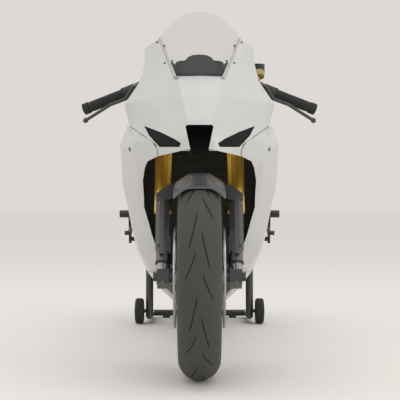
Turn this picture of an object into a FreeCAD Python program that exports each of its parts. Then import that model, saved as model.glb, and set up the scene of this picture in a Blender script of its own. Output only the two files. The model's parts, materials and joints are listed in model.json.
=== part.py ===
import FreeCAD, Part
import math
import os
import re

import Sketcher

# Sport bike in race trim, upright on a rear paddock stand. Millimetres, +Z up, the bike faces -Y.
# Heights are taken from the floor, and lengths along the bike from the front axle rearwards.

DOC = FreeCAD.newDocument("SportBike")
SHEET = DOC.addObject("Spreadsheet::Sheet", "Sizes")
V = FreeCAD.Vector

SIZES = (
    # Whole machine
    ("wheelbase", 1450),
    ("rear_lift", 45),
    ("stand_reach", 430),
    ("rake", 24),
    ("fork_offset", 33),
    ("overrun", 10),
    ("running_gap", 0.3),
    # Front wheel
    ("front_radius", 300),
    ("front_width", 122),
    ("bead_radius", 216),
    ("bead_spread", 88),
    ("sidewall_radius", 252),
    ("rim_lip", 8),
    ("rim_wall", 6),
    ("rim_well", 20),
    ("rim_shoulder", 12),
    ("rim_slope", 14),
    ("front_hub_radius", 31),
    ("front_hub_width", 112),
    ("spoke_width", 22),
    ("spoke_depth", 30),
    ("spoke_count", 6),
    ("front_axle_radius", 12),
    ("disc_radius", 160),
    ("disc_band", 38),
    ("disc_thickness", 5),
    ("disc_half_gap", 72),
    ("disc_boss_radius", 44),
    ("disc_arm", 20),
    ("disc_arms", 6),
    # Rear wheel
    ("rear_radius", 320),
    ("rear_width", 190),
    ("rear_bead_spread", 152),
    ("rear_sidewall_radius", 256),
    ("rear_hub_radius", 42),
    ("rear_hub_width", 150),
    ("rear_axle_radius", 12.5),
    ("rear_disc_radius", 110),
    ("rear_disc_band", 32),
    ("rear_disc_x", 96),
    ("rear_disc_boss", 50),
    ("sprocket_radius", 107.5),
    ("sprocket_thickness", 6),
    ("chain_x", 113),
    # Fork and steering
    ("fork_half", 111),
    ("fork_tube_radius", 26),
    ("fork_leg_radius", 16),
    ("fork_tube_bottom", 208),
    ("fork_tube_top", 728),
    ("fork_leg_overlap", 90),
    ("clamp_foot_width", 50),
    ("clamp_foot_below", 27),
    ("clamp_foot_above", 16),
    ("clamp_foot_depth", 52),
    ("lower_clamp_base", 471),
    ("lower_clamp_height", 42),
    ("top_clamp_base", 696),
    ("top_clamp_height", 24),
    ("clamp_wall", 11),
    ("stem_radius", 15),
    ("stem_bore_radius", 7.5),
    ("stem_bore_depth", 32),
    ("head_tube_radius", 30),
    # Handlebars
    ("bar_radius", 11),
    ("bar_height", 682),
    ("bar_ring_height", 24),
    ("bar_ring_wall", 9),
    ("bar_end_x", 366),
    ("bar_end_drop", 59),
    ("bar_end_back", 100),
    ("grip_radius", 16.5),
    ("grip_length", 118),
    ("bar_cap_radius", 14),
    ("bar_cap_length", 10),
    ("axle_collar_radius", 17),
    ("switch_radius", 20),
    ("switch_length", 40),
    ("lever_radius", 5.5),
    ("lever_ball_radius", 9),
    ("lever_pivot_x", 213),
    ("lever_knee_x", 236),
    ("lever_blade_x", 285),
    ("lever_end_x", 368),
    ("lever_ahead", 38),
    ("lever_below", 40),
    ("perch_radius", 9),
    ("reservoir_radius", 19),
    ("reservoir_height", 36),
    ("reservoir_x", 190),
    ("reservoir_ahead", 30),
    ("reservoir_base", 684),
    # Front fender and fork guards
    ("fender_gap", 9),
    ("fender_wall", 4),
    ("fender_half", 74),
    ("fender_skirt", 30),
    ("fender_front_angle", 46),
    ("fender_rear_angle", 46),
    ("guard_bottom", 62),
    ("guard_top", 256),
    ("guard_clear", 0.4),
    # Front calipers
    ("caliper_width", 44),
    ("caliper_depth", 50),
    ("caliper_height", 92),
    ("caliper_back", 76),
    ("caliper_up", 108),
    ("caliper_slot", 3),
    ("lug_width", 9),
    ("lug_height", 96),
    # Frame
    ("head_bottom", 513.3),
    ("head_top", 695.7),
    ("spar_width", 28),
    ("spar_half", 136),
    ("spar_neck_half", 33),
    ("spar_neck_width", 22),
    ("spar_neck_y", 262),
    ("spar_throat_y", 336),
    ("spar_bend_y", 440),
    ("spar_waist", 80),
    ("spar_foot", 42),
    ("spar_neck_low", 778),
    ("spar_neck_high", 868),
    ("spar_bend_low", 690),
    ("spar_bend_high", 790),
    ("spar_mid_low", 612),
    ("spar_mid_high", 712),
    ("spar_rear_low", 490),
    ("spar_rear_high", 625),
    ("spar_end_low", 300),
    ("spar_end_high", 486),
    ("frame_stay_radius", 9),
    ("frame_stay_z", 862),
    # Swingarm
    ("arm_length", 570),
    ("pivot_z", 400),
    ("pivot_radius", 22),
    ("pivot_half", 121.7),
    ("arm_neck", 48),
    ("arm_box_depth", 152),
    ("arm_box_half", 142),
    ("arm_box_low", 371),
    ("arm_box_high", 429),
    ("arm_half", 137),
    ("arm_width", 26),
    ("arm_end_reach", 52),
    ("arm_end_height", 46),
    ("spool_ahead", 50),
    ("spool_z", 352),
    ("spool_radius", 9),
    ("spool_end_x", 186),
    # Engine
    ("crank_half", 118),
    ("crank_front", 430),
    ("crank_share", 0.6),
    ("crank_low", 262),
    ("crank_high", 432),
    ("head_half", 128),
    ("head_front", 425),
    ("head_share", 0.385),
    ("engine_high", 616),
    ("gearbox_half", 92),
    ("gearbox_clear", 34),
    ("engine_round", 12),
    ("radiator_front", 336),
    ("radiator_depth", 34),
    ("radiator_half", 190),
    ("radiator_waist_z", 480),
    ("radiator_waist", 165),
    ("radiator_chin_z", 418),
    ("radiator_foot", 140),
    ("radiator_low", 352),
    ("radiator_high", 690),
    # Exhaust
    ("header_radius", 17),
    ("header_spacing", 46),
    ("header_y", 397),
    ("header_port_z", 540),
    ("collector_radius", 29),
    ("collector_z", 218),
    ("collector_y", 540),
    ("silencer_radius", 50),
    ("silencer_reach", 370),
    ("silencer_tip", 30),
    ("silencer_start_z", 342),
    ("silencer_end_z", 520),
    ("silencer_start_x", 196),
    ("silencer_end_x", 214),
    # Drive
    ("front_sprocket_radius", 36),
    ("sprocket_ahead", 80),
    ("chain_height", 12),
    ("chain_width", 16),
    # Rear brake
    ("rear_caliper_reach", 88),
    # Seat and tank
    ("tank_front", 372),
    ("tank_clear", 156),
    ("tank_half", 146),
    ("tank_low_front", 812),
    ("tank_low_rear", 742),
    ("tank_high", 992),
    ("seat_reach", 112),
    ("seat_high", 862),
    ("seat_thick", 42),
    ("seat_half", 130),
    ("tail_reach", 110),
    ("tail_half", 120),
    ("tail_high", 968),
    ("subframe_radius", 12),
    ("shock_radius", 30),
    ("shock_ahead", 8),
    ("shock_top_z", 650),
    # Rearsets
    ("hanger_width", 8),
    ("hanger_x", 262),
    ("hanger_front", 46),
    ("hanger_rear", 40),
    ("hanger_top", 34),
    ("hanger_low", 112),
    ("peg_radius", 14),
    ("peg_behind", 20),
    ("peg_z", 478),
    ("peg_end_x", 306),
    ("toe_reach", 148),
    ("toe_z", 409),
    ("toe_end_x", 268),
    ("toe_radius", 8),
    # Paddock stand
    ("stand_wheel_radius", 54.5),
    ("stand_wheel_width", 37),
    ("stand_wheel_x", 259),
    ("stand_wheel_ahead", 15),
    ("stand_axle_radius", 8),
    ("stand_tube_radius", 16),
    ("stand_post_x", 216),
    ("stand_foot_x", 150),
    ("stand_foot_radius", 22),
    ("stand_low_z", 22),
    ("brace_reach", 160),
    ("brace_radius", 14),
    ("handle_half", 90),
    ("handle_rise", 40),
    ("cradle_x", 168),
    ("cradle_width", 26),
    # Fairing
    ("panel_wall", 4),
    ("seam_gap", 0.5),
    ("ear_outer_x", 170),
    ("ear_outer_z", 995),
    ("ear_inner_x", 146),
    ("ear_inner_z", 1011),
    ("liner_wall", 3),
    ("liner_side", 172),
    ("liner_low", 666),
    ("liner_high", 756),
    ("duct_rear", -20),
    ("nose_reach", 140),
    ("fairing_half", 248),
    ("fairing_length", 700),
    ("fairing_low", 287),
    ("fairing_high", 1050),
    ("arch_corner_z", 640),
    ("arch_top_z", 667.6),
    ("arch_lip_x", 36),
    ("arch_brow_x", 82),
    ("arch_brow_z", 659),
    ("arch_shoulder_x", 162),
    ("arch_shoulder_z", 622),
    ("arch_wide", 171),
    ("arch_wide_high", 586),
    ("arch_wide_low", 506),
    ("arch_waist", 153),
    ("arch_waist_z", 426),
    ("arch_chin", 138),
    ("arch_chin_z", 370),
    ("arch_foot", 116),
    ("seam_low_x", 121),
    ("seam_low_z", 652),
    ("seam_step_z", 670),
    ("seam_bend_x", 135),
    ("seam_bend_z", 694),
    ("seam_high_x", 224),
    ("seam_high_z", 758),
    ("intake_half", 39.5),
    ("intake_low_half", 24),
    ("intake_high", 738),
    ("intake_low", 660),
    ("eye_top_x", 163),
    ("eye_top_z", 745),
    ("eye_knee_x", 114),
    ("eye_low_z", 678),
    ("eye_inner_x", 52),
    ("eye_inner_z", 686),
    ("eye_side_x", 146),
    ("eye_side_z", 713),
    ("eye_brow_x", 71),
    ("eye_brow_z", 699),
    ("eye_lid_z", 722),
    ("screen_low_half", 67),
    ("screen_low_z", 889),
    ("screen_shoulder_half", 119),
    ("screen_shoulder_z", 1030),
    ("screen_top_z", 1147),
    ("screen_wall", 3),
    ("screen_lap", 8),
    ("screen_dip", 0),
    ("screen_bulge", 58),
    ("belly_low", 150),
    ("belly_half", 150),
    ("belly_front", 342),
    ("dash_half", 74),
    ("dash_high", 979),
    ("dash_shoulder_z", 956),
    ("dash_hump_half", 44),
    ("dash_low", 894),
    ("dash_front", 112),
    ("dash_rear", 188),
)

# Places that follow the wheelbase, each worked out from the sizes and the places above it.
PLACES = (
    ("pivot_y", "wheelbase - arm_length"),
    ("arm_box_front", "pivot_y + arm_neck"),
    ("arm_box_rear", "arm_box_front + arm_box_depth"),
    ("arm_end_y", "wheelbase + arm_end_reach"),
    ("spool_y", "wheelbase - spool_ahead"),
    ("spar_end_y", "pivot_y + spar_foot"),
    ("spar_rear_y", "pivot_y - spar_waist"),
    ("spar_mid_y", "(spar_bend_y + spar_rear_y) / 2"),
    ("crank_rear", "crank_front + (pivot_y - crank_front) * crank_share"),
    ("head_rear", "head_front + (pivot_y - head_front) * head_share"),
    ("gearbox_rear", "pivot_y - gearbox_clear"),
    ("front_sprocket_y", "pivot_y - sprocket_ahead"),
    ("tank_rear", "pivot_y - tank_clear"),
    ("seat_rear", "pivot_y + seat_reach"),
    ("tail_end", "wheelbase + tail_reach"),
    ("shock_top_y", "pivot_y - shock_ahead"),
    ("shock_base_y", "(arm_box_front + arm_box_rear) / 2"),
    ("silencer_start_y", "wheelbase - silencer_reach"),
    ("silencer_end_y", "wheelbase - silencer_tip"),
    ("peg_y", "pivot_y + peg_behind"),
    ("toe_y", "peg_y - toe_reach"),
    ("stand_wheel_y", "spool_y - stand_wheel_ahead"),
    ("brace_y", "wheelbase + brace_reach"),
    ("belly_rear", "pivot_y"),
)




def fill_sheet():
    for row, (alias, value) in enumerate(SIZES, start=1):
        SHEET.set("A%d" % row, alias)
        SHEET.set("B%d" % row, str(value))
        SHEET.setAlias("B%d" % row, alias)
    DOC.recompute()


WORD = re.compile(r"[a-z_][a-z0-9_]+")
ALIASES = {alias for alias, _ in SIZES}
WORKED_OUT = dict(PLACES)
PARTS = []


def expand(text):
    """A formula with each size as a cell of the sheet and each place as its own formula."""
    def cell(hit):
        word = hit[0]
        if word in WORKED_OUT:
            return "(%s)" % expand(WORKED_OUT[word])
        return "Sizes." + word if word in ALIASES else word
    return WORD.sub(cell, str(text))


def number(text):
    return float(SHEET.evalExpression(expand(text)))


class Sizes:
    """The sheet's sizes and the places worked out from them, for shapes that are made from points."""

    def __init__(self):
        for alias, _ in SIZES:
            setattr(self, alias, float(SHEET.get(alias)))
        for name, _ in PLACES:
            setattr(self, name, number(name))
        self.front_y = self.front_radius - (self.front_radius + self.wheelbase + self.stand_reach) / 2
        self.rear_y = self.front_y + self.wheelbase
        self.rear_z = self.rear_radius + self.rear_lift
        self.cos_rake = math.cos(math.radians(self.rake))
        self.sin_rake = math.sin(math.radians(self.rake))


fill_sheet()
S = Sizes()


def bind(item, prop, text):
    item.setExpression(prop, expand(text))


def road_frame():
    return FreeCAD.Placement(V(0, S.front_y, 0), FreeCAD.Rotation())


def front_wheel_frame():
    return FreeCAD.Placement(V(0, S.front_y, S.front_radius), FreeCAD.Rotation())


def rear_wheel_frame():
    return FreeCAD.Placement(V(0, S.rear_y, S.rear_z), FreeCAD.Rotation())


def steering_frame():
    foot = V(0, S.front_y + S.fork_offset * S.cos_rake, S.front_radius - S.fork_offset * S.sin_rake)
    return FreeCAD.Placement(foot, FreeCAD.Rotation(V(1, 0, 0), -S.rake))


def add(kind, name):
    return DOC.addObject(kind, name)


def solid(name, shape):
    item = add("Part::Feature", name)
    item.Shape = shape
    return item


def keep(item, label, frame):
    item.Label = label
    item.Placement = frame
    PARTS.append(item)
    return item


def at(item, place):
    for letter, text in zip("xyz", place):
        bind(item, "Placement.Base." + letter, text)
    return item


TURNS = {
    "z": FreeCAD.Rotation(),
    "x": FreeCAD.Rotation(V(0, 1, 0), 90),
    "y": FreeCAD.Rotation(V(1, 0, 0), -90),
}


def rod(name, radius, length, place, along="z"):
    item = add("Part::Cylinder", name)
    bind(item, "Radius", radius)
    bind(item, "Height", length)
    item.Placement = FreeCAD.Placement(V(), TURNS[along])
    return at(item, place)


def cross_rod(name, radius, length, place=("0", "0", "0")):
    """A rod along X, centred on its place."""
    return rod(name, radius, length, ("%s - (%s) / 2" % (place[0], length), place[1], place[2]), "x")


def block(name, size, place):
    """A block centred on its place."""
    item = add("Part::Box", name)
    for prop, text in zip(("Length", "Width", "Height"), size):
        bind(item, prop, text)
    return at(item, ["%s - (%s) / 2" % (spot, text) for spot, text in zip(place, size)])


def chamfered(name, item, size):
    """Breaks every edge of a piece."""
    DOC.recompute()
    broken = add("Part::Chamfer", name)
    broken.Base = item
    width = number(size)
    broken.Edges = [(i + 1, width, width) for i in range(len(item.Shape.Edges))]
    return broken


def fused(name, items):
    item = add("Part::MultiFuse", name)
    item.Shapes = items
    item.Refine = True
    return item


def bundle(name, items):
    item = add("Part::Compound", name)
    item.Links = items
    return item


def less(name, base, tools):
    item = add("Part::Cut", name)
    item.Base = base
    item.Tool = tools[0] if len(tools) == 1 else fused(name + "_tools", tools)
    return item


def piece(label):
    return [item for item in PARTS if item.Label == label][0]


def unplaced(name, label, frame):
    """A finished piece brought back into a frame's own coordinates, to seat another against it."""
    twin = bundle(name, [piece(label)])
    twin.Placement = frame.inverse()
    return twin


def mirrored(name, item):
    twin = add("Part::Mirroring", name)
    twin.Source = item
    twin.Normal = V(1, 0, 0)
    return twin


def both_sides(name, item):
    return bundle(name, [item, mirrored(name + "_twin", item)])


def plane_of(body, role):
    return [item for item in body.Origin.OriginFeatures if item.Role == role][0]


def outline(body, name, role, points):
    """A closed sketch on an origin plane. A point's third text is the radius of the arc that leaves it."""
    sketch = body.newObject("Sketcher::SketchObject", name)
    sketch.AttachmentSupport = [(plane_of(body, role), "")]
    sketch.MapMode = "FlatFace"
    spots = [V(number(point[0]), number(point[1]), 0) for point in points]
    count = len(points)
    for i, point in enumerate(points):
        start = spots[i]
        end = spots[(i + 1) % count]
        if len(point) == 3:
            radius = number(point[2])
            middle = (start + end) * 0.5
            side = (end - start).cross(V(0, 0, 1)).normalize()
            rise = radius - math.copysign(math.sqrt(radius ** 2 - start.distanceToPoint(end) ** 2 / 4), radius)
            arc = Part.Arc(start, middle + side * rise, end)
            sketch.addGeometry(arc, False)
        else:
            sketch.addGeometry(Part.LineSegment(start, end), False)
    for i, point in enumerate(points):
        first = sketch.Geometry[i]
        start_end = ends_of(first, spots[i])
        next_start = ends_of(sketch.Geometry[(i + 1) % count], spots[(i + 1) % count])[0]
        sketch.addConstraint(Sketcher.Constraint("Coincident", i, start_end[1], (i + 1) % count, next_start))
        for kind, text in zip(("DistanceX", "DistanceY"), point[:2]):
            value = number(text)
            mark = sketch.addConstraint(Sketcher.Constraint(kind, -1, 1, i, start_end[0], value))
            sketch.setExpression("Constraints[%d]" % mark, expand(text))
        if len(point) == 3:
            mark = sketch.addConstraint(Sketcher.Constraint("Radius", i, abs(number(point[2]))))
            sketch.setExpression("Constraints[%d]" % mark, expand("abs(%s)" % point[2]))
    return sketch


def ends_of(edge, start):
    """Which end of a sketch edge is its start on the outline, and which its end."""
    return (1, 2) if edge.StartPoint.distanceToPoint(start) < edge.EndPoint.distanceToPoint(start) else (2, 1)


def turned(name, points):
    """A body turned round X from points of X and radius."""
    body = add("PartDesign::Body", name)
    sketch = outline(body, name + "_profile", "XY_Plane", points)
    turn = body.newObject("PartDesign::Revolution", name + "_turn")
    turn.Profile = sketch
    turn.ReferenceAxis = (sketch, ["H_Axis"])
    turn.Angle = 360
    return body


# Places of the steps across the tread's crown, as shares of its half width.
CROWN_SHARES = (1, 0.55, 0, -0.55, -1)
BEAD_TOP = "bead_radius + rim_lip + running_gap"


def tyre(name, radius, width, spread, sidewall):
    """A round crown in flat steps between two sidewalls that stand on their beads."""
    rise = "(%s - %s)" % (radius, sidewall)
    crown = "((%s ^ 2 + (%s / 2) ^ 2) / (2 * %s))" % (rise, width, rise)
    tread = []
    for share in CROWN_SHARES:
        x = "%s / 2 * %s" % (width, share)
        tread.append((x, "%s - %s + sqrt(%s ^ 2 - (%s) ^ 2)" % (radius, crown, crown, x)))
    return turned(name, [("%s / 2" % spread, "bead_radius"), ("%s / 2" % spread, BEAD_TOP)] + tread + [
        ("-%s / 2" % spread, BEAD_TOP),
        ("-%s / 2" % spread, "bead_radius"),
    ])


def rim(name, spread, hub_radius, hub_width, bore):
    """A drop-centre rim on flat spokes and a bored hub, seated inside the tyre's bead."""
    seat = "bead_radius - running_gap"
    half = "%s / 2" % spread
    right = [
        ("%s + rim_lip" % half, seat),
        ("%s + rim_lip" % half, "bead_radius + rim_lip"),
        ("%s + running_gap" % half, "bead_radius + rim_lip"),
        ("%s + running_gap" % half, seat),
        ("%s - rim_shoulder - rim_slope" % half, "bead_radius - rim_well + rim_wall"),
    ]
    left = [("-(%s)" % x, r) for x, r in reversed(right)]
    inside = [
        ("-(%s + rim_lip)" % half, "bead_radius - rim_wall"),
        ("-(%s - rim_shoulder - rim_slope)" % half, "bead_radius - rim_well"),
        ("%s - rim_shoulder - rim_slope" % half, "bead_radius - rim_well"),
        ("%s + rim_lip" % half, "bead_radius - rim_wall"),
    ]
    barrel = turned(name + "_barrel", right + left + inside)
    hub = cross_rod(name + "_hub", hub_radius, hub_width)
    reach = "bead_radius - rim_well + rim_wall / 2"
    spoke = block(name + "_spoke", ("spoke_width", "spoke_depth", reach), ("0", "0", "(%s) / 2" % reach))
    spokes = around(name + "_spokes", spoke, "spoke_count")
    solid = fused(name + "_solid", [barrel, hub, spokes])
    return less(name, solid, [cross_rod(name + "_bore", bore + " + running_gap", hub_width + " + overrun")])


def around(name, item, count):
    """Copies of a piece round the X axis."""
    copies = [item]
    total = int(number(count))
    for i in range(1, total):
        twin = add("Part::Compound", "%s_%d" % (name, i))
        twin.Links = [item]
        twin.Placement = FreeCAD.Placement(V(), FreeCAD.Rotation(V(1, 0, 0), i * 360 / total))
        copies.append(twin)
    return fused(name, copies)


def disc(name, x, radius, band, boss, bore):
    """A brake disc: the braking band, its arms and its boss, in one plane."""
    ring = cross_rod(name + "_ring", radius, "disc_thickness", (x, "0", "0"))
    hole = cross_rod(name + "_hole", "%s - %s" % (radius, band), "disc_thickness + overrun", (x, "0", "0"))
    reach = "%s - %s / 2" % (radius, band)
    arm = block(name + "_arm", ("disc_thickness", "disc_arm", reach), (x, "0", "(%s) / 2" % reach))
    arms = around(name + "_arms", arm, "disc_arms")
    middle = cross_rod(name + "_boss", boss, "disc_thickness", (x, "0", "0"))
    whole = fused(name + "_whole", [less(name + "_band", ring, [hole]), arms, middle])
    return less(name, whole, [cross_rod(name + "_bore", bore, "disc_thickness + overrun", (x, "0", "0"))])


def make_front_wheel():
    frame = front_wheel_frame()
    keep(tyre("front_tyre_shape", "front_radius", "front_width", "bead_spread", "sidewall_radius"),
         "front_tyre", frame)
    keep(rim("front_rim_shape", "bead_spread", "front_hub_radius", "front_hub_width", "front_axle_radius"),
         "front_rim", frame)
    hub_face = "front_hub_width / 2"
    seat = cross_rod("front_disc_seat", "front_hub_radius", "disc_half_gap - disc_thickness / 2 - %s" % hub_face,
                     ("(disc_half_gap - disc_thickness / 2 + %s) / 2" % hub_face, "0", "0"))
    plate = disc("front_disc", "disc_half_gap", "disc_radius", "disc_band", "disc_boss_radius",
                 "front_axle_radius + running_gap")
    carrier = less("front_disc_carrier", fused("front_disc_whole", [plate, seat]),
                   [cross_rod("front_disc_bore", "front_axle_radius + running_gap", "4 * disc_half_gap")])
    keep(both_sides("front_discs_shape", carrier), "front_discs", frame)


def make_rear_wheel():
    frame = rear_wheel_frame()
    keep(tyre("rear_tyre_shape", "rear_radius", "rear_width", "rear_bead_spread", "rear_sidewall_radius"),
         "rear_tyre", frame)
    keep(rim("rear_rim_shape", "rear_bead_spread", "rear_hub_radius", "rear_hub_width", "rear_axle_radius"),
         "rear_rim", frame)
    bore = "rear_axle_radius + running_gap"
    hub_face = "rear_hub_width / 2"
    disc_face = "(rear_disc_x - disc_thickness / 2)"
    seat = cross_rod("rear_disc_seat", "rear_hub_radius", "%s - %s" % (disc_face, hub_face),
                     ("-(%s + %s) / 2" % (disc_face, hub_face), "0", "0"))
    plate = disc("rear_disc_plate", "-rear_disc_x", "rear_disc_radius", "rear_disc_band", "rear_disc_boss", bore)
    keep(less("rear_disc_shape", fused("rear_disc_whole", [plate, seat]),
              [cross_rod("rear_disc_bore", bore, "4 * rear_disc_x")]), "rear_disc", frame)
    tooth_face = "(chain_x - sprocket_thickness / 2)"
    carrier = cross_rod("sprocket_carrier", "rear_hub_radius", "%s - %s" % (tooth_face, hub_face),
                        ("(%s + %s) / 2" % (tooth_face, hub_face), "0", "0"))
    plate = cross_rod("sprocket_plate", "sprocket_radius", "sprocket_thickness", ("chain_x", "0", "0"))
    keep(less("sprocket_shape", fused("sprocket_whole", [plate, carrier]),
              [cross_rod("sprocket_bore", bore, "4 * chain_x")]), "rear_sprocket", frame)


FORK_Y = "-fork_offset"
MITRED = 1


def fork_rod(name, radius, base, length, x="fork_half"):
    return rod(name, radius, length, (x, FORK_Y, base))


def strut(name, radius, start, end):
    """A round bar between two places, each three texts."""
    item = add("Part::Cylinder", name)
    bind(item, "Radius", radius)
    steps = ["((%s) - (%s))" % (b, a) for a, b in zip(start, end)]
    bind(item, "Height", "sqrt(%s ^ 2 + %s ^ 2 + %s ^ 2)" % tuple(steps))
    item.Placement = FreeCAD.Placement(V(), FreeCAD.Rotation(V(0, 0, 1), V(*[number(step) for step in steps])))
    return at(item, start)


def ball(name, radius, place):
    item = add("Part::Sphere", name)
    bind(item, "Radius", radius)
    return at(item, place)


def bent_bar(name, radius, places):
    """A round bar along a route of places, mitred at each bend."""
    route = [V(*[number(text) for text in place]) for place in places]
    start = Part.Wire(Part.makeCircle(number(radius), route[0], route[1] - route[0]))
    return solid(name, Part.Wire(Part.makePolygon(route)).makePipeShell([start], True, True, MITRED))


def on_bar(x):
    """The texts of the place on the bar's line at x."""
    share = "((%s - fork_half) / (bar_end_x - fork_half))" % x
    return [x, "%s + bar_end_back * %s" % (FORK_Y, share), "bar_height - bar_end_drop * %s" % share]


def make_fork():
    frame = steering_frame()
    length = "fork_tube_top - fork_tube_bottom"
    tube = less("fork_tube", fork_rod("fork_tube_outer", "fork_tube_radius", "fork_tube_bottom", length),
                [fork_rod("fork_tube_bore", "fork_leg_radius + running_gap", "fork_tube_bottom - overrun",
                          "fork_leg_overlap + overrun + running_gap")])
    keep(both_sides("fork_tubes_shape", tube), "fork_tubes", frame)
    leg = fork_rod("fork_leg", "fork_leg_radius", "clamp_foot_above",
                   "fork_tube_bottom + fork_leg_overlap - clamp_foot_above")
    keep(both_sides("fork_legs_shape", leg), "fork_legs", frame)
    foot_height = "(clamp_foot_below + clamp_foot_above)"
    foot = block("clamp_foot", ("clamp_foot_width", "clamp_foot_depth", foot_height),
                 ("fork_half + overrun / 4", FORK_Y, "(clamp_foot_above - clamp_foot_below) / 2"))
    lug_x = "disc_half_gap + caliper_width / 2 + running_gap + lug_width / 2"
    lug = block("caliper_lug", ("lug_width", "caliper_back + caliper_depth / 2", "lug_height"),
                (lug_x, "%s + (caliper_back + caliper_depth / 2) / 2" % FORK_Y, "lug_height / 2"))
    lug = less("caliper_lug_cut", lug, [fork_rod("lug_leg_room", "fork_leg_radius + running_gap",
                                                 "clamp_foot_above", "lug_height")])
    solid = fused("clamp_solid", [foot, lug])
    bore = cross_rod("clamp_bore", "front_axle_radius + running_gap", "4 * fork_half", ("0", FORK_Y, "0"))
    keep(both_sides("axle_clamps_shape", less("clamp_bored", solid, [bore])), "axle_clamps", frame)
    axle = cross_rod("front_axle_rod", "front_axle_radius", "2 * fork_half + clamp_foot_width", ("0", FORK_Y, "0"))
    disc_face = "(disc_half_gap + disc_thickness / 2 + running_gap)"
    foot_face = "(fork_half + overrun / 4 - clamp_foot_width / 2 - running_gap)"
    collar = cross_rod("axle_collar", "axle_collar_radius", "%s - %s" % (foot_face, disc_face),
                       ("(%s + %s) / 2" % (foot_face, disc_face), FORK_Y, "0"))
    keep(fused("front_axle_shape", [axle, both_sides("axle_collars", collar)]), "front_axle", frame)


def triple_clamp(name, base, height):
    """Three bored bosses on one bridge."""
    boss_radius = "fork_tube_radius + clamp_wall"
    boss = fork_rod(name + "_boss", boss_radius, base, height)
    middle = rod(name + "_middle", "stem_radius + clamp_wall", height, ("0", "0", base))
    bridge = block(name + "_bridge", ("2 * fork_half", "fork_offset + clamp_wall", "(%s)" % height),
                   ("0", FORK_Y + " / 2", "%s + (%s) / 2" % (base, height)))
    solid = fused(name + "_solid", [boss, mirrored(name + "_boss_twin", boss), middle, bridge])
    bore = fork_rod(name + "_bore", "fork_tube_radius + running_gap", "%s - overrun" % base,
                    "%s + 2 * overrun" % height)
    return less(name, solid, [bore, mirrored(name + "_bore_twin", bore)])


def make_clamps():
    frame = steering_frame()
    stem = rod("stem", "stem_radius", "top_clamp_base - lower_clamp_base - running_gap",
               ("0", "0", "lower_clamp_base"))
    solid = fused("lower_clamp_whole", [triple_clamp("lower_clamp", "lower_clamp_base", "lower_clamp_height"),
                                        stem])
    socket = rod("stem_socket", "stem_bore_radius", "stem_bore_depth + overrun",
                 ("0", "0", "lower_clamp_base - overrun"))
    keep(less("lower_triple_clamp_shape", solid, [socket]), "lower_triple_clamp", frame)
    nut = rod("stem_nut", "stem_radius + running_gap", "top_clamp_height + clamp_wall",
              ("0", "0", "top_clamp_base"))
    keep(fused("top_triple_clamp_shape", [triple_clamp("top_clamp", "top_clamp_base", "top_clamp_height"), nut]),
         "top_triple_clamp", frame)


def make_handlebars():
    frame = steering_frame()
    ring_base = "bar_height - bar_ring_height / 2"
    ring = fork_rod("bar_ring", "fork_tube_radius + bar_ring_wall", ring_base, "bar_ring_height")
    bar = strut("bar_tube", "bar_radius", on_bar("fork_half"), on_bar("bar_end_x"))
    solid = fused("bar_whole", [ring, bar])
    bore = fork_rod("bar_bore", "fork_tube_radius + running_gap", ring_base + " - overrun",
                    "bar_ring_height + 2 * overrun")
    keep(both_sides("handlebars_shape", less("clip_on", solid, [bore])), "handlebars", frame)
    grip_start = on_bar("(bar_end_x - grip_length)")
    cap_end = on_bar("(bar_end_x + bar_cap_length)")
    grip = strut("grip_sleeve", "grip_radius", grip_start, on_bar("bar_end_x"))
    cap = strut("grip_cap", "bar_cap_radius", on_bar("bar_end_x"), cap_end)
    hollow = strut("grip_hollow", "bar_radius + running_gap", on_bar("(bar_end_x - grip_length - overrun)"),
                   on_bar("(bar_end_x + running_gap)"))
    keep(both_sides("grips_shape", less("grip", fused("grip_whole", [grip, cap]), [hollow])), "grips", frame)
    switch_end = "(bar_end_x - grip_length - running_gap)"
    switch_start = "(bar_end_x - grip_length - switch_length)"
    pod = strut("switch_pod", "switch_radius", on_bar(switch_start), on_bar(switch_end))
    room = strut("switch_room", "bar_radius + running_gap", on_bar("(bar_end_x - grip_length - 2 * switch_length)"),
                 on_bar("bar_end_x"))
    keep(both_sides("switchgear_shape", less("switch_case", pod, [room])), "switchgear", frame)


def beside_bar(x, ahead, below):
    place = on_bar(x)
    return [x, "%s - (%s)" % (place[1], ahead), "%s - (%s)" % (place[2], below)]


def lever(name):
    """A perch clamped on the bar, its arm, the blade and the ball end."""
    perch_x = "(bar_end_x - grip_length - switch_length - perch_radius - running_gap)"
    ring = strut(name + "_perch_ring", "bar_radius + perch_radius", on_bar("(%s - perch_radius)" % perch_x),
                 on_bar("(%s + perch_radius - running_gap)" % perch_x))
    places = [
        beside_bar(perch_x, "lever_ahead / 3", "0"),
        beside_bar("lever_pivot_x", "lever_ahead", "lever_below / 4"),
        beside_bar("lever_knee_x", "lever_ahead", "lever_below"),
        beside_bar("lever_blade_x", "lever_ahead", "lever_below - lever_ball_radius"),
        beside_bar("lever_end_x", "lever_ahead", "lever_below"),
    ]
    blade = bent_bar(name + "_blade", "lever_radius", places)
    end = ball(name + "_ball", "lever_ball_radius", places[-1])
    room = strut(name + "_bar_room", "bar_radius + running_gap", on_bar("fork_half"), on_bar("bar_end_x"))
    return less(name, fused(name + "_whole", [ring, blade, end]), [room])


def make_controls():
    frame = steering_frame()
    keep(lever("clutch_lever_shape"), "clutch_lever", frame)
    keep(mirrored("brake_lever_shape", lever("brake_lever_twin")), "brake_lever", frame)
    place = ("reservoir_x", "%s - reservoir_ahead" % on_bar("reservoir_x")[1], "reservoir_base")
    cup = rod("reservoir_cup", "reservoir_radius", "reservoir_height", place)
    neck = strut("reservoir_neck", "perch_radius / 2", on_bar("reservoir_x"), place)
    room = strut("reservoir_bar_room", "bar_radius + running_gap", on_bar("fork_half"), on_bar("bar_end_x"))
    keep(less("fluid_reservoir_shape", fused("reservoir_whole", [cup, neck]), [room]), "fluid_reservoir", frame)


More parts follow.
